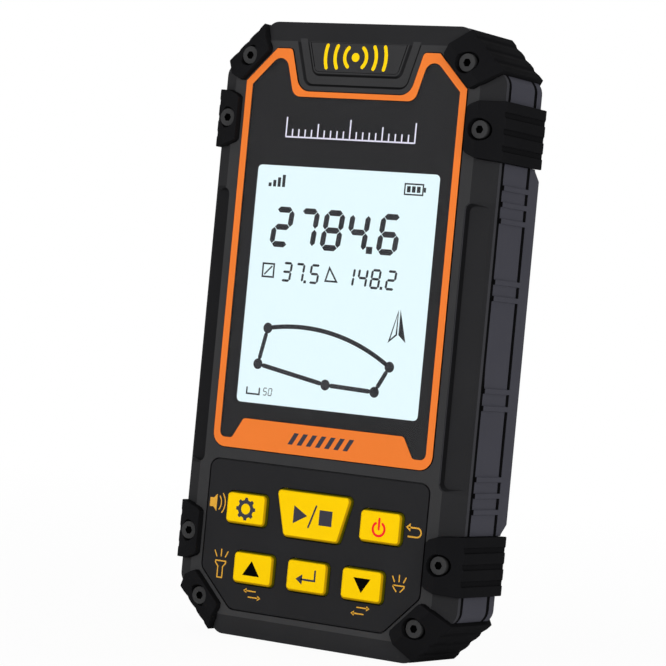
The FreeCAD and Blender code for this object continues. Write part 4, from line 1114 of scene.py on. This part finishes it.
@dataclass
class Display:
    """Orange bezel, clear window, lit screen and what they show."""

    edge: float = 0.05  # softened edges of the bezel in millimetres
    border_side: float = 1.56  # display module beyond the lit area at the sides
    border_foot: float = 2.57  # the same at the foot
    bond: float = 0.01  # how far the mask's print reaches into the window
    plate_lean: float = 0.2917  # sideways per height of the nameplate's sides
    plate_round: float = 1.0  # radius of its lower corners

    def build(self, frame: dict) -> None:
        """Dresses the display's nodes and adds the prints and the painted shadow lines.
        """
        bezel = replace(ORANGE, front=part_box("display_bezel")[0].y)
        Carried("display_bezel", bezel, self.edge).dress(frame)
        for node, finish in (
            ("display_window", WINDOW),
            ("window_mask", MASK),
            ("lcd_module", SCREEN),
            ("nameplate", PLATE),
        ):
            Carried(node, finish).dress(frame)
        self.bond_mask(frame)
        self.add_picture()
        self.add_scale()
        self.add_seam()
        self.add_waves()
        self.add_bars()

    def bond_mask(self, frame: dict) -> None:
        """Swells the printed mask by a hair, so that it is bonded to the window's back."""
        swell = frame["nodes"]["window_mask"].modifiers.new("swell", "DISPLACE")
        settle(swell, strength=self.bond * MM, mid_level=0.0)

    def add_picture(self) -> None:
        """Adds the reading and the field plan on the lit screen."""
        low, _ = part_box("lcd_module")
        marks = digits("2784.6", 5.2, 34.2, 7.4, 0.17)
        marks += digits("37.5", 8.6, 26.6, 3.7, 0.14)
        marks += digits("148.2", 24.4, 26.6, 3.7, 0.14)
        marks += digits("50", 6.6, 1.9, 1.5)
        marks += self.status() + self.plan()
        marks = moved(marks, low.x / MM + self.border_side, low.z / MM + self.border_foot)
        add_print("screen_picture", "lcd_module", SCREEN_INK, marks)

    def status(self) -> list[Mark]:
        """Reception bars, battery and units at the head of the screen.

        Returns:
            The marks, from the lower left corner of the lit area.
        """
        bars = [
            block(x, 46.4 + tall / 2, 0.75, tall)
            for x, tall in ((3.4, 0.8), (4.55, 1.4), (5.7, 2.0), (6.85, 2.6))
        ]
        shell = Stroke(((37.0, 46.5), (41.4, 46.5), (41.4, 48.7), (37.0, 48.7)), 0.32, True)
        charge = [block(x, 47.6, 0.85, 1.3) for x in (37.95, 39.15, 40.35)]
        square = Stroke(((3.6, 27.1), (6.4, 27.1), (6.4, 29.9), (3.6, 29.9)), 0.38, True)
        across = Stroke(((4.15, 27.65), (5.85, 29.35)), 0.34)
        corner = Stroke(((19.6, 27.2), (22.4, 27.2), (20.4, 30.0)), 0.38, True)
        return [*bars, shell, block(41.85, 47.6, 0.5, 1.0), *charge, square, across, corner]

    def plan(self) -> list[Mark]:
        """A field's outline with its corner posts, a north arrow and a scale bar.

        Returns:
            The marks, from the lower left corner of the lit area.
        """
        posts = ((4.6, 8.4), (6.3, 16.2), (37.3, 10.5), (34.2, 5.0), (22.0, 5.4))
        post, pen, overlap = 1.15, 0.95, 0.15
        marks: list[Mark] = [disc(place, post) for place in posts]
        marks.append(Stroke(tuple(arc((14.5, -26.0), 43.0, 99.3, 59.7, 24)), pen))
        for start, end in ((0, 1), (2, 3), (3, 4), (4, 0)):
            first, last = Vector(posts[start]), Vector(posts[end])
            way = (last - first).normalized() * (post + pen / 2 - overlap)
            marks.append(Stroke((tuple(first + way), tuple(last - way)), pen))
        marks.append(Patch(((38.75, 22.6), (40.6, 15.8), (38.75, 17.3))))
        marks.append(Stroke(((38.25, 22.0), (36.6, 15.9), (38.25, 17.3)), 0.36, True))
        marks.append(Stroke(((2.4, 3.2), (2.4, 1.9), (5.6, 1.9), (5.6, 3.2)), 0.35))
        return marks

    def add_scale(self) -> None:
        """Adds a white measuring scale on the window above the screen."""
        half, steps, pen, rise = 16.0, 20, 0.32, 64.9
        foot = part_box("display_window")[0].z / MM + rise
        marks: list[Mark] = [Stroke(((-half, foot), (half, foot)), pen)]
        for index in range(steps + 1):
            height = next(tall for every, tall in TICKS if index % every == 0)
            marks.append(block(-half + 2 * half * index / steps, foot + height / 2, pen, height))
        add_print("window_scale", "display_window", WHITE_INK, marks)

    def add_waves(self) -> None:
        """Adds the yellow reception mark on the nameplate."""
        dot, pen, steps = 0.95, 0.8, 14
        centre = (-0.45, middle_of("nameplate").z + 0.15)
        marks: list[Mark] = [disc(centre, dot)]
        for radius, spread in ((2.7, 48.0), (5.1, 27.0), (7.5, 18.5)):
            for start in (-spread, 180 - spread):
                marks.append(Stroke(tuple(arc(centre, radius, start, start + 2 * spread, steps)), pen))
        add_print("nameplate_mark", "nameplate", YELLOW_INK, marks, THICK_PRINT)

    def add_seam(self) -> None:
        """Adds painted shadow lines in black along the nameplate's left and right, where the trench walls
        cast shade.
        """
        low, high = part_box("nameplate")
        top, foot = high.z / MM, low.z / MM + self.plate_round
        wide = high.x / MM
        narrow = wide - self.plate_lean * (top - foot)
        marks: list[Mark] = [
            Stroke(((hand * wide, top), (hand * narrow, foot)), pen) for hand, pen in ((-1, 0.16), (1, 0.11))
        ]
        add_print("nameplate_shadow_lines", "nameplate", BLACK_INK, marks, THIN_PRINT)

    def add_bars(self) -> None:
        """Adds a row of slanting dark bars on the bezel's tab."""
        rise, pitch, width, height, lean = 3.3, 2.3, 1.15, 2.5, 1.5
        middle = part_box("display_bezel")[0].z / MM + rise
        marks: list[Mark] = [block(pitch * index, middle, width, height, lean) for index in range(-3, 4)]
        add_print("bezel_bars", "display_bezel", DARK_INK, marks)


class Legend(Enum):
    """What each key shows, by the key's node."""

    SETTINGS = "key_settings"
    START_STOP = "key_start_stop"
    POWER = "key_power"
    UP = "key_up"
    ENTER = "key_enter"
    DOWN = "key_down"

    @property
    def body(self) -> str:
        """Body that the key's legend rides on."""
        return self.value.removeprefix("key_") + "_key"

    @property
    def ink(self) -> Finish:
        """Ink of the legend."""
        return {Legend.POWER: RED_INK, Legend.UP: BLACK_INK, Legend.DOWN: BLACK_INK}.get(self, DARK_INK)

    def marks(self) -> list[Mark]:
        """The legend about the middle of the key's face.

        Returns:
            Its marks.
        """
        if self is Legend.SETTINGS:
            return gear(1.15, 1.95, 2.45, 8)
        if self is Legend.START_STOP:
            play = Patch(((-4.6, -1.9), (-1.2, 0.0), (-4.6, 1.9)))
            return [play, Stroke(((-0.7, -2.3), (0.9, 2.3)), 0.42), block(3.4, 0.0, 3.2, 3.2)]
        if self is Legend.POWER:
            middle, pen = (-0.25, -0.4), 0.52
            return [Stroke(tuple(arc(middle, 1.42, 125, 415, 28)), pen), Stroke((middle, (-0.25, 1.75)), pen)]
        if self is Legend.UP:
            return [Patch(((-2.5, -1.52), (1.82, -1.52), (-0.36, 1.64)))]
        if self is Legend.DOWN:
            return [Patch(((-2.05, 1.5), (0.05, -1.55), (2.1, 1.5)))]
        shaft = Stroke(((2.1, 1.5), (2.1, -0.6), (-1.2, -0.6)), 0.42)
        return [shaft, Patch(((-2.6, -0.6), (-1.0, 0.5), (-1.0, -1.7)))]


# Corners of a gear's tooth: turn from its middle as a share of the pitch, and whether it is at the tip
TOOTH = ((-0.3, False), (-0.17, True), (0.17, True), (0.3, False))


def gear(hole: float, root: float, tip: float, teeth: int) -> list[Mark]:
    """A gear wheel with a hole.

    Args:
        hole: radius of the hole in millimetres.
        root: radius between the teeth.
        tip: radius over the teeth.
        teeth: number of teeth.

    Returns:
        The wheel.
    """
    outer = []
    inner = []
    for tooth, (share, at_tip) in product(range(teeth), TOOTH):
        angle = 2 * math.pi * (tooth + share) / teeth
        way = Vector((math.cos(angle), math.sin(angle)))
        outer.append(tuple(way * (tip if at_tip else root)))
        inner.append(tuple(way * hole))
    return [Band(tuple(outer), tuple(inner))]


@dataclass
class Keypad:
    """Panel, keys, their legends and the amber signs beside them."""

    pen: float = 0.26  # width of the amber lines
    rim: float = 0.45  # width of the keys' rounded rims in millimetres
    rim_steps: int = 4  # steps across a rim
    rim_angle: float = 50.0  # least bend in degrees of an edge that gets a rim

    def build(self, frame: dict) -> None:
        """Dresses the keypad and prints its signs.
        """
        Carried("keypad_panel", PANEL).dress(frame)
        for legend in Legend:
            key = legend.value
            Carried(key, KEY, self.rim, self.rim_steps, self.rim_angle).dress(frame)
            marks = self.beside(key, 0.0, 0.0, legend.marks())
            add_print(key.replace("key_", "legend_"), key, legend.ink, marks, body=legend.body)
        add_print("panel_signs", "keypad_panel", AMBER_INK, self.signs())

    def beside(self, key: str, x: float, z: float, marks: list[Mark]) -> list[Mark]:
        """Marks moved to a place to the right of and above the middle of a key."""
        middle = middle_of(key)
        return moved(marks, middle.x + x, middle.z + z)

    def signs(self) -> list[Mark]:
        """All amber signs.

        Returns:
            Their marks, at their places on the panel.
        """
        marks: list[Mark] = []
        for key, x, z, sign in (
            ("key_settings", -7.95, 0.55, self.loudspeaker()),
            ("key_power", 7.65, -0.1, self.back_arrow()),
            ("key_up", -8.9, 0.15, self.torch()),
            ("key_down", 8.45, 1.45, self.lamp()),
            ("key_up", -0.15, -5.45, self.swap(1)),
            ("key_down", -0.25, -5.35, self.swap(-1)),
        ):
            marks += self.beside(key, x, z, sign)
        return marks

    def loudspeaker(self) -> list[Mark]:
        """A loudspeaker with two sound waves.

        Returns:
            Its marks.
        """
        horn = ((-1.95, 0.97), (-1.0, 0.97), (-0.15, 1.85), (-0.15, -1.85), (-1.0, -0.97), (-1.95, -0.97))
        waves = [Stroke(tuple(arc((-1.3, 0.0), radius, -38, 38, 8)), self.pen) for radius in (2.3, 3.3)]
        return [Patch(horn), *waves]

    def back_arrow(self) -> list[Mark]:
        """An arrow that turns back to the left.

        Returns:
            Its marks.
        """
        bend = ((-1.2, 0.9), *arc((0.85, -0.05), 0.95, 90, -90, 8), (-1.2, -1.0))
        head = ((-1.95, 0.9), (-0.85, 1.75), (-0.85, 0.05))
        return [Stroke(bend, self.pen * 1.3), Patch(head)]

    def rays(self, z: float, length: float) -> list[Mark]:
        """Three rays of light over a lamp.

        Args:
            z: height of the lamp's top in millimetres.
            length: length of a ray.

        Returns:
            The rays.
        """
        foot, head, reach = z + 0.15, z + 0.15 + length, 1.1 + 0.5 * length
        lines = (
            ((-reach, head), (-1.1, foot)),
            ((0.0, head + 0.35), (0.0, foot + 0.1)),
            ((reach, head), (1.1, foot)),
        )
        return [Stroke(line, self.pen) for line in lines]

    def torch(self) -> list[Mark]:
        """A hand torch with its rays.

        Returns:
            Its marks.
        """
        left = ((-1.3, 0.55), (-1.3, 0.1), (-0.62, -0.65), (-0.62, -3.0))
        right = tuple((-x, z) for x, z in reversed(left))
        return [Stroke(left + right, self.pen, True), *self.rays(1.3, 1.2)]

    def lamp(self) -> list[Mark]:
        """A bowl lamp with its rays.

        Returns:
            Its marks.
        """
        bowl = ((-1.32, -0.45), (1.32, -0.45), (1.32, -0.8), (0.5, -1.7))
        other = ((-1.32, -0.45), (-1.32, -0.8), (-0.5, -1.7))
        return [Stroke(bowl, self.pen), Stroke(other, self.pen), *self.rays(0.15, 1.05)]

    def swap(self, hand: int) -> list[Mark]:
        """Two arrows that point opposite ways.

        Args:
            hand: 1 where the upper one points to the left, -1 where it points to the right.

        Returns:
            Their marks.
        """
        half, head, barb = 1.55, 0.8, 0.55
        marks: list[Mark] = []
        for way, x, z in ((-hand, -0.7 * hand, 0.65), (hand, 0.7 * hand, -0.65)):
            tip, back = x + half * way, x + (half - head) * way
            marks.append(Stroke(((x - half * way, z), (tip - 0.5 * way, z)), self.pen))
            marks.append(Patch(((tip, z), (back, z + barb), (back, z - barb))))
        return marks


# Studio and camera

WHITE = (1.0, 1.0, 1.0)


@dataclass(frozen=True)
class Lamp:
    """A soft square lamp that looks at the meter."""

    name: str  # name of the lamp
    place: Place  # where it hangs, in metres
    size: float  # side of the lamp in metres
    power: float  # watts
    aim: float = 0.066  # height in metres of the point it looks at

    def build(self) -> None:
        """Hangs the lamp."""
        lamp = bpy.data.lights.new(self.name, "AREA")
        settle(lamp, size=self.size, energy=self.power)
        holder = bpy.data.objects.new(self.name, lamp)
        bpy.context.scene.collection.objects.link(holder)
        way = Vector((0.0, 0.0, self.aim)) - Vector(self.place)
        settle(holder, location=self.place, rotation_euler=way.to_track_quat("-Z", "Y").to_euler())


LAMPS = (
    Lamp("key", (-0.1, -1.1, 0.18), 0.7, 6.7),
    Lamp("fill", (0.9, -0.65, 0.2), 0.8, 4.2),
    Lamp("top", (0.0, 0.25, 1.1), 0.8, 1.2),
    Lamp("rear", (-0.35, 1.0, 0.5), 0.8, 2.0),
)


@dataclass
class Studio:
    """Pale floor, white surroundings and soft lamps."""

    floor_half: float = 6.0  # half size of the floor in metres
    floor_colour: Colour = (0.95, 0.95, 0.95)  # linear colour of the floor
    shadow_share: float = 0.95  # how white the camera sees the floor close to the meter
    shadow_span: Point = (0.1, 0.6)  # distances in metres over which it turns all white
    ambient: float = 0.42  # strength of the surroundings on the object

    def build(self) -> None:
        """Makes the floor, the world and the lamps."""
        self.add_floor()
        self.add_world()
        for lamp in LAMPS:
            lamp.build()
        bpy.context.scene.view_settings.view_transform = "Standard"
        LOG.info("studio is ready")

    def seen(self, tree: Tree) -> Socket:
        """A factor of 1 where the camera looks, straight or through glass."""
        path = tree.add("ShaderNodeLightPath").outputs
        return tree.maths("MAXIMUM", path["Is Camera Ray"], path["Is Transmission Ray"])

    def add_floor(self) -> None:
        """Makes a pale floor that shows white and keeps the object's shadow."""
        half = self.floor_half
        data = bpy.data.meshes.new("floor")
        places = [(-half, -half, 0.0), (half, -half, 0.0), (half, half, 0.0), (-half, half, 0.0)]
        data.from_pydata(places, [], [(0, 1, 2, 3)])
        floor = bpy.data.objects.new("floor", data)
        bpy.context.scene.collection.objects.link(floor)
        made, shader, tree = new_material("floor_pale")
        tree.fill(shader, {"Base Color": self.floor_colour, "Roughness": 0.9, "Specular IOR Level": 0.0})
        glow = tree.add("ShaderNodeEmission", {"Color": WHITE, "Strength": 1.0})
        place = tree.add("ShaderNodeTexCoord").outputs["Object"]
        away = tree.add("ShaderNodeVectorMath", {0: place}, operation="LENGTH").outputs["Value"]
        share = tree.times(self.seen(tree), tree.ranged(away, *self.shadow_span, self.shadow_share, 1.0))
        mix = tree.add("ShaderNodeMixShader", {0: share, 1: shader.outputs[0], 2: glow.outputs[0]})
        tree.fill(made.node_tree.nodes["Material Output"], {0: mix.outputs[0]})
        data.materials.append(made)

    def add_world(self) -> None:
        """Makes white surroundings that light the object at a plain level."""
        world = bpy.data.worlds.new("surroundings")
        world.use_nodes = True
        bpy.context.scene.world = world
        tree = Tree(world.node_tree)
        strength = tree.faded(self.seen(tree), self.ambient, 1.0)
        tree.fill(world.node_tree.nodes["Background"], {"Color": WHITE, "Strength": strength})


@dataclass
class Viewpoint:
    """The camera, at the photograph's angle."""

    azimuth: float = 32.3276  # degrees from straight ahead towards +X
    elevation: float = 0.10584  # degrees above the horizon
    roll: float = 5.394  # degrees that the camera leans
    distance: float = 601.0  # millimetres to the reference point
    aside: float = 0.38866  # how far the camera stands off the reference point, to its right
    target: Place = (0.0, -11.255, 66.585)  # reference point on the front, in millimetres
    lens: float = 154.76  # focal length in millimetres
    sensor: float = 36.0  # width of the sensor in millimetres
    near: float = 0.01  # distance in metres from which the camera sees

    def build(self) -> None:
        """Makes the camera."""
        turn, rise, lean = (math.radians(angle) for angle in (self.azimuth, self.elevation, self.roll))
        flat = math.cos(rise)
        way = Vector((-math.sin(turn) * flat, math.cos(turn) * flat, -math.sin(rise)))
        level = Vector((math.cos(turn), math.sin(turn), 0.0))
        upright = (-way).cross(level)
        right = math.cos(lean) * level + math.sin(lean) * upright
        up = -math.sin(lean) * level + math.cos(lean) * upright
        place = (Vector(self.target) + self.aside * right - self.distance * way) * MM
        data = bpy.data.cameras.new("viewpoint")
        settle(data, sensor_width=self.sensor, lens=self.lens, clip_start=self.near)
        camera = bpy.data.objects.new("viewpoint", data)
        bpy.context.scene.collection.objects.link(camera)
        axes = Matrix((right, up, -way)).transposed().to_4x4()
        camera.matrix_world = Matrix.Translation(place) @ axes
        bpy.context.scene.camera = camera


def main() -> None:
    """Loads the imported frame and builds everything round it."""
    logging.basicConfig(level=logging.INFO, format="%(name)s: %(message)s")
    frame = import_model()
    Viewpoint().build()
    Studio().build()
    for part in (Housing(), Internals(), Display(), Keypad()):
        part.build(frame)
        LOG.info("finished %s", type(part).__name__)


if __name__ == "__main__":
    main()
